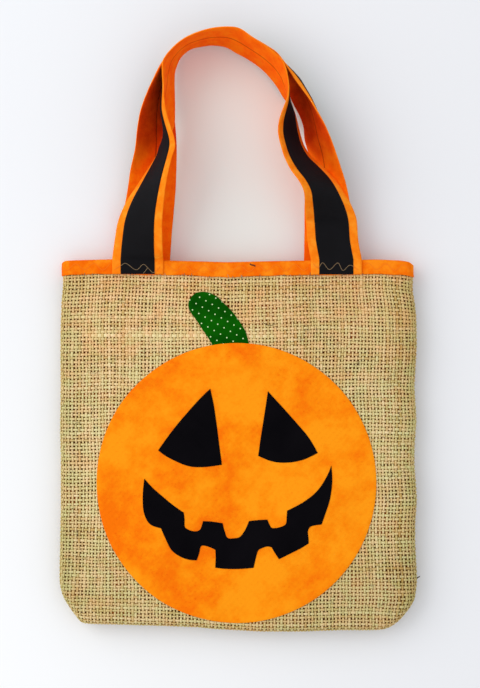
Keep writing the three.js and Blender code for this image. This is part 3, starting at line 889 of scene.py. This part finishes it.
REAR_STATIONS = (
    (-87.2, 162.1, -48.8, 162.1, 1.9, 0), (-84.8, 176.6, -47.6, 177.2, 1.7, 0),
    (-81.8, 191.1, -46.3, 192.3, 1.6, 0), (-79.4, 205.7, -45.8, 207.5, 1.5, 0),
    (-75.6, 220.7, -45.6, 222.6, 1.4, 4), (-73.7, 235.9, -46.4, 237.7, 1.4, 8),
    (-71.0, 248.7, -47.7, 250.5, 1.3, 12), (-66.3, 260.8, -47.9, 262.6, 1.3, 14),
    (-61.1, 271.4, -48.6, 274.7, 1.3, 10), (-55.7, 281.5, -47.9, 284.5, 1.2, 4),
    (-48.1, 291.8, -44.0, 294.3, 1.2, 0), (-39.7, 298.9, -37.5, 300.1, 1.2, 0),
    (-29.9, 303.7, -29.3, 302.7, 1.2, 0), (-17.6, 307.5, -18.4, 303.9, 1.2, 0),
    (-5.3, 308.5, -8.0, 302.4, 1.2, 0), (2.5, 306.9, 0.6, 297.8, 1.2, 0),
    (11.3, 301.2, 8.4, 293.7, 1.2, 0), (20.4, 295.9, 17.4, 287.9, 1.2, 0),
    (28.6, 290.4, 23.8, 283.0, 1.2, 6), (33.5, 284.4, 29.1, 279.6, 1.2, 16),
    (37.5, 278.6, 34.7, 275.8, 1.2, 40), (42.6, 270.7, 38.9, 269.2, 1.2, 72),
    (48.7, 262.7, 40.6, 261.8, 1.2, 74), (54.1, 255.2, 43.9, 254.9, 1.2, 62),
    (58.8, 247.1, 47.6, 248.0, 1.2, 42), (64.0, 238.1, 50.4, 239.7, 1.2, 20),
    (68.7, 228.0, 51.3, 230.1, 1.2, 12), (72.6, 217.4, 54.0, 219.9, 1.2, 8),
    (76.7, 205.9, 54.4, 209.7, 1.2, 4), (80.3, 196.0, 52.5, 199.2, 1.3, 0),
    (83.1, 185.3, 51.3, 187.8, 1.4, 0), (85.4, 173.0, 50.9, 175.0, 1.6, 0),
    (87.1, 159.9, 50.9, 161.0, 1.9, 0),
)
STEPS_PER_STATION = 6
SEWN_RINGS = 9


def spline(points, steps):
    """Even Catmull-Rom curve through the points."""
    points = np.asarray(points, dtype=float)
    full = np.vstack([2 * points[0] - points[1], points, 2 * points[-1] - points[-2]])
    t = np.arange(steps)[:, None] / steps
    line = []
    for p0, p1, p2, p3 in zip(full, full[1:], full[2:], full[3:]):
        m1, m2 = (p2 - p0) / 2, (p3 - p1) / 2
        line.append((2 * t**3 - 3 * t**2 + 1) * p1 + (t**3 - 2 * t**2 + t) * m1
                    + (-2 * t**3 + 3 * t**2) * p2 + (t**3 - t**2) * m2)
    return np.vstack([*line, points[-1]])


def handle_frames(table, spacing, root_z, sign):
    """Middle, across, outward and curl along a handle, from one sewn end to the other."""
    near_root, far_root = spacing / 2 - sign * STRAP_HALF, spacing / 2 + sign * STRAP_HALF
    left, right = [(side * near_root, ROOT_Y, side * far_root, ROOT_Y, root_z, 0) for side in (-1, 1)]
    rows = spline([left, *table, right], STEPS_PER_STATION)
    near, far, far_z = rows[:, 0:2], rows[:, 2:4], rows[:, 4]
    curl = np.radians(np.maximum(rows[:, 5], 0.5))
    chord = 2 * STRAP_HALF * np.sin(curl / 2) / (curl / 2)
    rise = np.sqrt(np.maximum(chord**2 - np.linalg.norm(near - far, axis=1) ** 2, 0))
    far = np.column_stack([far, far_z])
    near = np.column_stack([near, far_z + rise])
    middle, across = (near + far) / 2, unit(near - far)
    ahead = unit(np.gradient(middle, axis=0))
    ahead[0], ahead[-1] = (0, 1, 0), (0, -1, 0)
    sewn = ((SEWN_RINGS, SEWN_RINGS), (0, 0))
    outward = unit(np.cross(across, ahead))
    middle, across, outward = [np.pad(part, sewn, "edge") for part in (middle, across, outward)]
    ends = HEM_TOP + np.linspace(-BINDING_DEPTH + 0.2, -0.4, SEWN_RINGS)
    middle[:SEWN_RINGS, 1], middle[-SEWN_RINGS:, 1] = ends, ends[::-1]
    middle[:, 1] += hem_shift(middle[:, 0]) * (1 - smooth((middle[:, 1] - HEM_TOP) / 40))
    return middle, across, outward, np.pad(curl, SEWN_RINGS, "edge")


# The strap's section: the raised border and face, and the under face with the lap of its seam
BORDER = ((19.05, 0.0), (18.92, 0.38), (18.4, 0.6), (17.2, 0.72), (15.4, 0.7), (13.2, 0.6), (9.0, 0.58),
          (4.5, 0.58))
UNDER_FACE = ((18.92, -0.38), (18.4, -0.6), (16.0, -0.7), (12.0, -0.64), (7.0, -0.62), (3.0, -0.64),
              (0.9, -0.68), (0.3, -0.52), (0.0, -0.22), (-0.3, -0.5), (-0.9, -0.62), (-3.0, -0.62),
              (-7.0, -0.62), (-12.0, -0.64), (-16.0, -0.7), (-18.4, -0.6), (-18.92, -0.38))
STRAP_SECTION = (*[(-x, z) for x, z in BORDER], (0.0, 0.58), *BORDER[::-1], *UNDER_FACE)


def ribbon_section():
    half, low, high = RIBBON_HALF, RIBBON_LOW, RIBBON_FACE
    left = [(-half, low + 0.12), (-half + 0.12, high - 0.08), (-half + 0.5, high)]
    top = [(x, high) for x in np.linspace(-half + 3, half - 3, 7)]
    right = [(-x, z) for x, z in left[::-1]]
    under = [(x, low) for x in (half - 0.1, *np.linspace(half - 2.2, -half + 2.2, 11), -half + 0.1)]
    return left + top + right + under


# Painted shade: the rear strap's inner face is painted deepest red where the two straps close over it
PAINTED_SHADE_FROM_Y = (207, 232, 264, 288)


def swept_strap(name, frames, section, material):
    middle, across, outward, curl = frames
    section = np.array(section)
    radius = (2 * STRAP_HALF / curl)[:, None]
    turn = section[:, 0] / radius
    sideways = (radius + section[:, 1]) * np.sin(turn)
    bulge = (radius + section[:, 1]) * np.cos(turn) - radius * np.cos(curl / 2)[:, None]
    rings = middle[:, None] + across[:, None] * sideways[..., None] + outward[:, None] * bulge[..., None]
    obj = ring_mesh(name, rings, section, lengths_along(middle), material, False)
    inner = (section[:, 1] < 0) * 1.0
    seam = clamp01(1.3 - np.abs(section[:, 0]) / 0.6) * inner
    # Painted shade along the rear strap's legs, on its inner face
    painted_deep_shade = np.interp(middle[:, 1], PAINTED_SHADE_FROM_Y, (0, 1, 1, 0)) * name.startswith("rear")
    everywhere = np.ones(len(rings))
    for label, along, values in (("inner_face", everywhere, inner), ("seam", everywhere, seam),
                                 ("painted_deep_shade", painted_deep_shade, inner)):
        set_values(obj, label, np.outer(along, values))
    return obj


def add_handle(name, options, strap_material, ribbon_material):
    frames = handle_frames(*options)
    strap = swept_strap(name + "_strap_cloth", frames, STRAP_SECTION, strap_material)
    ribbon = swept_strap(name + "_ribbon_band", frames, ribbon_section(), ribbon_material)
    for piece, kind, slot in ((strap, "strap", "orange_cotton"), (ribbon, "ribbon", "black_ribbon")):
        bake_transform(piece)
        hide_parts(f"{name}_{kind}", f"{name}_left_{kind}_end", f"{name}_right_{kind}_end")


# Appliques: how far each lies off the bag's front, and its thickness
ON_BURLAP = (0.1, 0.5)
ON_PUMPKIN = (0.64, 0.35)
EDGE_BEVEL = 0.3
GRID_SPACING = 2.6
PUMPKIN_X = -0.4
PUMPKIN_Y = -27.4
PUMPKIN_RADIUS = 104.3
STEM_FOOT_Y = 77.0
STEM_FOOT_X = -5.0
STEM_FOOT_RISE = 0.55

# Outlines in mm from the middle of the bag, as curves that meet at corners: each starts where the one
# before it ends, and the first where the last ends
LEFT_EYE = (
    ((-25.3, 37.7), (-31.3, 31.4), (-37.2, 24.7), (-42.4, 18.7), (-48.4, 11.3), (-53.6, 4.2),
     (-58.8, -3.2)),
    ((-53.6, -7.1), (-46.9, -10.7), (-39.5, -13.9), (-33.5, -15.4), (-26.8, -15.7), (-20.8, -15.3),
     (-11.2, -13.9)),
    ((-12.9, -1.4), (-15.1, 15.8), (-17.3, 30.7), (-19.9, 42.8)),
)
RIGHT_EYE = (
    ((28.3, 35.1), (33.5, 29.5), (39.5, 22.8), (44.7, 16.9), (50.7, 10.0), (54.4, 5.0), (57.4, 0.1),
     (60.2, -5.1)),
    ((55.1, -7.7), (49.2, -10.2), (42.5, -11.8), (37.3, -12.3), (32.0, -12.3), (26.1, -11.4),
     (20.9, -9.6), (15.8, -7.3)),
    ((17.9, 7.6), (20.5, 24.0), (23.1, 40.9)),
)
PUMPKIN_MOUTH = (
    ((-62.6, -31.2), (-55.9, -37.0), (-48.4, -43.2), (-42.1, -47.8), (-39.6, -49.3)),
    ((-39.0, -54.3), (-38.9, -59.8), (-36.9, -61.7), (-33.5, -63.1), (-29.9, -63.3), (-27.4, -61.9),
     (-26.1, -58.7), (-25.3, -55.8)),
    ((-18.6, -56.2), (-10.7, -57.4)),
    ((-9.2, -63.2), (-7.0, -68.3), (-2.2, -68.6), (2.2, -67.5), (6.0, -62.5), (9.0, -55.8)),
    ((15.7, -55.1), (22.7, -54.7)),
    ((24.4, -58.7), (26.2, -60.9), (30.6, -60.6), (34.7, -59.2), (36.6, -57.2), (37.0, -52.0),
     (37.3, -48.0)),
    ((44.7, -44.3), (51.4, -40.3), (58.1, -34.9), (63.3, -28.6), (67.8, -20.7), (70.3, -14.5)),
    ((70.9, -21.5), (70.8, -28.9), (69.3, -39.4), (66.3, -49.0), (63.0, -58.3)),
    ((58.1, -58.9), (54.4, -60.2), (52.8, -63.6), (53.3, -68.4), (53.4, -72.4)),
    ((47.7, -76.0), (40.2, -79.7), (31.3, -84.1)),
    ((28.3, -79.6), (25.6, -75.1)),
    ((22.4, -74.7), (18.6, -75.9), (15.8, -77.7), (14.2, -82.6), (12.4, -90.5)),
    ((5.2, -91.2), (-2.2, -91.5), (-9.7, -91.3), (-16.2, -90.5)),
    ((-15.9, -83.3), (-16.1, -77.3)),
    ((-20.1, -75.3), (-25.2, -74.0), (-27.1, -75.1), (-28.1, -79.6), (-29.9, -85.0)),
    ((-34.6, -84.7), (-39.8, -83.3), (-45.4, -80.2), (-49.5, -76.2), (-53.2, -68.8), (-56.6, -61.1)),
    ((-60.3, -60.1), (-64.0, -58.6), (-67.0, -55.4), (-69.3, -49.8), (-70.2, -43.1), (-70.1, -33.8),
     (-69.1, -24.3)),
)
STEM = (
    ((-18.3, 74.8),),
    ((-19.4, 77.6), (-22.0, 81.3), (-25.0, 85.8), (-27.6, 89.9), (-30.6, 94.4), (-33.5, 98.1),
     (-35.6, 101.8), (-36.4, 105.2), (-35.8, 108.5), (-33.5, 111.9), (-30.6, 114.1), (-26.8, 115.0),
     (-23.1, 114.9), (-19.4, 113.8), (-15.6, 111.9), (-12.7, 109.7), (-10.1, 106.8), (-6.7, 103.7),
     (-3.7, 100.3), (-0.7, 96.6), (1.9, 92.9), (4.1, 89.5), (6.4, 85.4), (7.7, 81.3), (8.7, 77.4)),
    ((9.0, 73.5),),
    ((-3.0, 72.0), (-15.0, 71.5)),
)


def closed_outline(curves):
    """Points about 1 mm apart round an outline."""
    points = []
    corner = curves[-1][-1]
    for curve in curves:
        line = spline([corner, *curve], 10)
        corner = curve[-1]
        length = lengths_along(line)
        stops = np.linspace(0, length[-1], max(int(round(length[-1])), 2) + 1)[:-1]
        points.append(columns(*[np.interp(stops, length, part) for part in line.T]))
    return np.concatenate(points)


def pumpkin_outline():
    """Points about 1 mm apart round the pumpkin, cut by hand from its left round to its right."""
    angle = np.linspace(0, 2 * math.pi, int(2 * math.pi * PUMPKIN_RADIUS), endpoint=False)
    uneven = 0.25 * waves(angle * PUMPKIN_RADIUS, 0, 81, 40) * np.sin(angle / 2) ** 2
    radius = PUMPKIN_RADIUS + uneven
    return columns(PUMPKIN_X + radius * np.cos(angle), PUMPKIN_Y + radius * np.sin(angle))


def inside(outline, points):
    """Which points lie inside the outline."""
    x, y = points[:, 0:1], points[:, 1:2]
    ax, ay = outline.T
    bx, by = np.roll(ax, -1), np.roll(ay, -1)
    crosses = (ay > y) != (by > y)
    at = ax + (y - ay) / np.where(by == ay, 1e-9, by - ay) * (bx - ax)
    return (np.sum(crosses & (x < at), axis=1) % 2) == 1


def inset(outline, distance):
    ahead = unit(np.roll(outline, -1, axis=0) - np.roll(outline, 1, axis=0))
    return outline + columns(-ahead[:, 1], ahead[:, 0]) * distance


def applique(name, outline, lift, thick, material, surface):
    """Flat cloth cut to an outline and laid on the bag's front, with soft edges."""
    x, y = outline.T
    if np.sum(x * np.roll(y, -1) - np.roll(x, -1) * y) < 0:
        outline = outline[::-1]
    rim = inset(outline, EDGE_BEVEL)
    low, high = outline.min(axis=0), outline.max(axis=0)
    gx, gy = np.meshgrid(np.arange(low[0], high[0], GRID_SPACING),
                         np.arange(low[1], high[1], GRID_SPACING * 0.87))
    gx[::2] += GRID_SPACING / 2
    grid = columns(gx.ravel(), gy.ravel())
    grid = grid[inside(inset(outline, EDGE_BEVEL + GRID_SPACING * 0.45), grid)]
    nearest = np.min(np.linalg.norm(grid[:, None] - rim, axis=2), axis=1)
    grid = grid[nearest > GRID_SPACING * 0.4]
    count = len(rim)
    edges = [(i, (i + 1) % count) for i in range(count)]
    result = delaunay_2d_cdt([Vector(p) for p in (*rim, *grid)], edges, [], 1, 1e-4)
    flat, faces = np.array([tuple(v) for v in result[0]]), np.array(result[2])
    top = np.column_stack([flat, surface(*flat.T) + lift + thick])
    base = surface(*outline.T) + lift
    edge = [np.column_stack([outline, base + thick * share]) for share in (0.6, 0.1)]
    total = len(flat)
    here = np.arange(count)
    loops = [here, 2 * total + here, 2 * total + count + here, total + here]
    walls = [columns(a, b, np.roll(b, -1), np.roll(a, -1)) for a, b in zip(loops, loops[1:])]
    points = np.concatenate([top, top - (0, 0, thick), *edge])
    return make_object(name, points, [faces, faces[:, ::-1] + total, *walls], material)


def over_stem(x, y):
    """Height of the front face, raised where the pumpkin's edge lies over the stem's foot."""
    near = smooth(1 - (STEM_FOOT_Y - y) / 9) * smooth(1.15 - np.abs(x - STEM_FOOT_X) / 16)
    return front_face(x, y) + STEM_FOOT_RISE * near


def add_appliques(pumpkin, green, black):
    pieces = (
        ("pumpkin", pumpkin_outline(), ON_BURLAP, pumpkin, over_stem, "pumpkin_applique", "pumpkin_cotton"),
        ("stem", closed_outline(STEM), ON_BURLAP, green, front_face, "stem_applique", "green_cotton"),
        ("left_eye", closed_outline(LEFT_EYE), ON_PUMPKIN, black, front_face, "left_eye", "black_cotton"),
        ("right_eye", closed_outline(RIGHT_EYE), ON_PUMPKIN, black, front_face, "right_eye", "black_cotton"),
        ("mouth", closed_outline(PUMPKIN_MOUTH), ON_PUMPKIN, black, front_face, "mouth", "black_cotton"),
    )
    for name, outline, (lift, thick), material, surface, node, slot in pieces:
        dress(applique(name + "_cloth", outline, lift, thick, material, surface), slot, node)


# Threads and loose fibres
STITCH_RADIUS = 0.19
STITCH_HALF_WAVE = 6.8
STITCH_Y = 133.3
STITCH_SWING = 2.3
STITCH_SPANS = ((-129.5, -94.5), (-53.0, 53.5), (94.5, 129.0))
BORDER_FACE = 0.72
ROUND_SECTION = tuple((math.cos(a), math.sin(a)) for a in np.radians((180, 120, 60, 0, -60, -120)))
HAIR_SECTION = ((-1.0, -0.5), (0.0, 1.0), (1.0, -0.5))

LEFT_STITCH = (
    ((-91.6, 131.6), (-86.7, 134.3), (-82.6, 136.1), (-75.1, 131.3), (-69.9, 135.4), (-66.2, 132.7),
     (-62.1, 129.3), (-57.4, 133.6)),
    ((-69.9, 128.6), (-67.9, 130.9), (-66.2, 133.2)),
)
RIGHT_STITCH = (
    ((56.6, 135.9), (60.5, 132.8), (63.9, 136.6), (68.9, 131.5), (75.1, 136.5), (78.9, 130.8),
     (84.1, 134.8), (90.2, 131.4)),
)


def add_thread(tubes, path, heights, radius, tone, section=ROUND_SECTION):
    """Round thread along a path of places in the plan, at the given heights."""
    path = np.column_stack([path, heights])
    ahead = unit(np.gradient(path, axis=0))
    across = unit(np.cross(ahead, (0.0, 0.0, 1.0)))
    size = np.full(len(path), radius)
    tubes.add(path, across, np.cross(across, ahead), size, size, section, tone)


def add_strap_stitch(name, lines, centre, root_z, sign, material):
    """Wavy stitch of a strap's sewn end, over the ribbon and the strap's borders."""
    tubes = TubeSet(len(lines))
    for line in lines:
        path = spline(line, 7)
        from_centre = np.abs(path[:, 0] - centre)
        raised = smooth((RIBBON_HALF + 0.7 - from_centre) / 0.8)
        face = BORDER_FACE + (RIBBON_FACE - BORDER_FACE) * raised
        height = root_z + sign * (face + STITCH_RADIUS * 0.7)
        over_ribbon = smooth((RIBBON_HALF + 0.4 - from_centre) / 0.8)
        add_thread(tubes, path, height, STITCH_RADIUS, over_ribbon)
    dress(tubes.build(name + "_seam", material), "tan_thread", name + "_wavy_stitch")


def band_height(x, side):
    """Height of the binding's outer face half way down its depth, in front (1) or behind (-1)."""
    loop_x, _, _, loop_nz, around = mouth_loop()
    leg = side * loop_nz > 0.99
    order = np.argsort(loop_x[leg])
    bulge = side * mouth_bulge(np.interp(x, loop_x[leg][order], around[leg][order]))
    return (MOUTH_FRONT_Z if side > 0 else MOUTH_BACK_Z) + bulge


def add_band_stitch(material):
    """Wavy stitch of the binding's own colour, beside the strap ends."""
    tubes = TubeSet(2 * len(STITCH_SPANS))
    for side, seed in ((1, 92), (-1, 91)):
        for low, high in STITCH_SPANS:
            x = np.arange(low, high, 0.85)
            y = STITCH_Y + hem_shift(x) + STITCH_SWING * np.sin(math.pi * x / STITCH_HALF_WAVE + 0.6)
            path = columns(x, y + 0.4 * waves(x, 0, seed, 12))
            height = band_height(x, side) + side * STITCH_RADIUS * 0.35
            add_thread(tubes, path, height, STITCH_RADIUS * 0.9, 0.5)
    dress(tubes.build("band_stitch", material), "orange_cotton")


HAIR_COUNT = 260
LYING_LIFT = 0.25
DARK_FIBRE_RADIUS = 0.16
THREAD_BIT_RADIUS = 0.4
EDGE_STUB_RADIUS = 0.42
HAIR_ZONE = ((-124, 124), (-128, 122))
STEM_ZONE = ((-45, 18), (66, 122))
STUB_COUNT = 30
STUB_HEIGHTS = (-0.2, 0.28, 0.42, 0.5)
THREAD_BIT = ((9.6, 135.9), (10.8, 135.1), (12.4, 134.9), (13.6, 134.1))
EDGE_STUB = ((132.6, -100.8, 8.6), (134.6, -99.9, 8.9), (137.2, -98.3, 9.3))
DARK_FIBRES = (((19.4, 92.4), (22.0, 90.4), (25.2, 89.9), (28.3, 91.4)),
               ((113.6, -23.6), (115.3, -21.9), (116.2, -19.8)))


def on_applique(x, y):
    on_pumpkin = math.hypot(x - PUMPKIN_X, y - PUMPKIN_Y) < PUMPKIN_RADIUS + 9
    (west, east), (south, north) = STEM_ZONE
    return on_pumpkin or (west < x < east and south < y < north)


def add_hairs(tubes, local):
    """Loose hairs of the burlap, beside the appliques."""
    t = np.linspace(0, 1, 7)
    made = 0
    while made < HAIR_COUNT:
        x, y = [local.uniform(*span) for span in HAIR_ZONE]
        heading = local.uniform(0, 2 * math.pi)
        length = local.uniform(2.5, 8.0)
        angle = heading + local.normal(0, 0.9) * t
        rise = local.uniform(0.25, 1.0)
        tone = local.uniform(0.35, 1.0)
        if on_applique(x, y):
            continue
        px = x + np.cumsum(np.cos(angle)) * length / len(t)
        py = y + np.cumsum(np.sin(angle)) * length / len(t)
        height = front_face(px, py) - FRONT_INSET + 0.62 + rise * np.sin(math.pi * t * 0.8)
        add_thread(tubes, columns(px, py), height, local.uniform(0.05, 0.1), tone, HAIR_SECTION)
        made += 1


def add_stubs(tubes, local):
    """Straw ends that poke out over the binding's lower edge."""
    for _ in range(STUB_COUNT):
        x = local.uniform(-128, 128)
        low = local.uniform(125.6, 126.8) + float(hem_shift(x))
        high = low + local.uniform(1.4, 3.2)
        lean = local.normal(0, 0.5)
        path = np.linspace((x, low), (x + lean, high), len(STUB_HEIGHTS))
        height = MOUTH_FRONT_Z + np.array(STUB_HEIGHTS)
        add_thread(tubes, path, height, local.uniform(0.12, 0.24), local.uniform(0.45, 0.75), HAIR_SECTION)


def add_fibres(material):
    """Loose hairs and straw ends, two dark fibres, and a stub at the side."""
    local = np.random.default_rng(77)
    tubes = TubeSet(HAIR_COUNT + STUB_COUNT + 3)
    add_hairs(tubes, local)
    add_stubs(tubes, local)
    for fibre in DARK_FIBRES:
        path = spline(fibre, 4)
        height = front_face(*path.T) + LYING_LIFT
        add_thread(tubes, path, height, DARK_FIBRE_RADIUS, 0.0, HAIR_SECTION)
    stub = spline(EDGE_STUB, 4)
    add_thread(tubes, stub[:, :2], stub[:, 2], EDGE_STUB_RADIUS, 0.25, HAIR_SECTION)
    dress(tubes.build("burlap_fibres", material), "burlap")


def add_thread_bit(material):
    """Short end of dark thread left on the binding."""
    tubes = TubeSet(1)
    path = spline(THREAD_BIT, 4)
    add_thread(tubes, path, band_height(path[:, 0], 1) + LYING_LIFT, THREAD_BIT_RADIUS, 0.5)
    dress(tubes.build("thread_bit", material), "black_cotton")


def add_threads():
    tan = thread_material("tan_thread_yarn", "F08A26", "8A7254")
    front, rear = FRONT_SPACING / 2, REAR_SPACING / 2
    add_strap_stitch("front_left", LEFT_STITCH, -front, FRONT_ROOT_Z, 1, tan)
    add_strap_stitch("front_right", RIGHT_STITCH, front, FRONT_ROOT_Z, 1, tan)
    for name, lines, side in (("rear_left", RIGHT_STITCH, -1), ("rear_right", LEFT_STITCH, 1)):
        flipped = [[(-x - side * (front - rear), y) for x, y in line] for line in lines]
        add_strap_stitch(name, flipped, side * rear, REAR_ROOT_Z, -1, tan)
    add_band_stitch(thread_material("orange_thread_yarn", "F0780E", "F88A1C"))
    add_fibres(thread_material("straw_fibre", "4A3620", "F0DFB4"))
    add_thread_bit(thread_material("dark_thread_yarn", "14101A", "2A2028"))


# The scene around the bag
FLOOR_REACH = 6000.0
FLOOR_Z = -0.4
SKY_STRENGTH = 0.84
SKY_COLOR = (0.98, 0.99, 1.0, 1)
WINDOW_PLACE = (-1.5, 0.7, 1.25)
WINDOW_TARGET = (0, 0.05, 0)
WINDOW_SIZE = (2.2, 1.6)
WINDOW_POWER = 18.5
WINDOW_COLOR = (1.0, 0.99, 0.97)


def add_camera():
    camera = bpy.data.cameras.new("camera")
    camera.sensor_fit = "AUTO"
    camera.sensor_width = SENSOR
    distance = CAMERA_PLACE[2] - PHOTO_PLANE_Z
    camera.lens = SENSOR * distance / (PHOTO_HEIGHT_PX * PHOTO_MM_PER_PX)
    camera.clip_start = 0.05
    camera.clip_end = 20.0
    bpy.context.scene.camera = add_to_scene("camera", camera, np.multiply(CAMERA_PLACE, MM))


def add_floor():
    signs = ((-1, -1), (1, -1), (1, 1), (-1, 1))
    points = [(x * FLOOR_REACH, y * FLOOR_REACH, FLOOR_Z) for x, y in signs]
    faces = [np.array([[0, 1, 2, 3]])]
    make_object("table", points, faces, floor_material(), smooth_faces=False)


def add_window():
    """Broad soft light from the left."""
    light = bpy.data.lights.new("window", "AREA")
    light.shape = "RECTANGLE"
    light.size, light.size_y = WINDOW_SIZE
    light.energy = WINDOW_POWER
    light.color = WINDOW_COLOR
    direction = Vector(WINDOW_TARGET) - Vector(WINDOW_PLACE)
    holder = add_to_scene("window", light, WINDOW_PLACE)
    holder.rotation_euler = direction.to_track_quat("-Z", "Y").to_euler()


def add_sky():
    """Even soft light, and white wherever the camera sees past the table."""
    world = bpy.data.worlds.new("studio")
    world.use_nodes = True
    m = Nodes(world.node_tree)
    background = m.tree.nodes["Background"].inputs
    m.feed(background["Color"], SKY_COLOR)
    rays = m.tree.nodes.new("ShaderNodeLightPath").outputs
    seen = rays["Is Camera Ray"]
    for kind in ("Is Glossy Ray", "Is Transmission Ray"):
        seen = m.math("MAXIMUM", seen, rays[kind])
    m.feed(background["Strength"], m.times(seen, 1.0 - SKY_STRENGTH, SKY_STRENGTH))
    bpy.context.scene.world = world
    bpy.context.scene.view_settings.view_transform = "Standard"


add_camera()
add_floor()
add_sky()
add_window()
yarns = burlap_material("burlap_warp_yarn", True), burlap_material("burlap_weft_yarn", False)
weave_panel("burlap_front", True, 3, *yarns)
weave_panel("burlap_back", False, 2, *yarns)
lining = lining_material()
lining_panel("lining_front", True, lining)
lining_panel("lining_back", False, lining)
add_binding(band_material())
add_appliques(pumpkin_material(), green_material(), black_cotton_material())
strap_cotton = strap_material()
ribbon = ribbon_material()
add_handle("front", (FRONT_STATIONS, FRONT_SPACING, FRONT_ROOT_Z, 1), strap_cotton, ribbon)
add_handle("rear", (REAR_STATIONS, REAR_SPACING, REAR_ROOT_Z, -1), strap_cotton, ribbon)
add_threads()
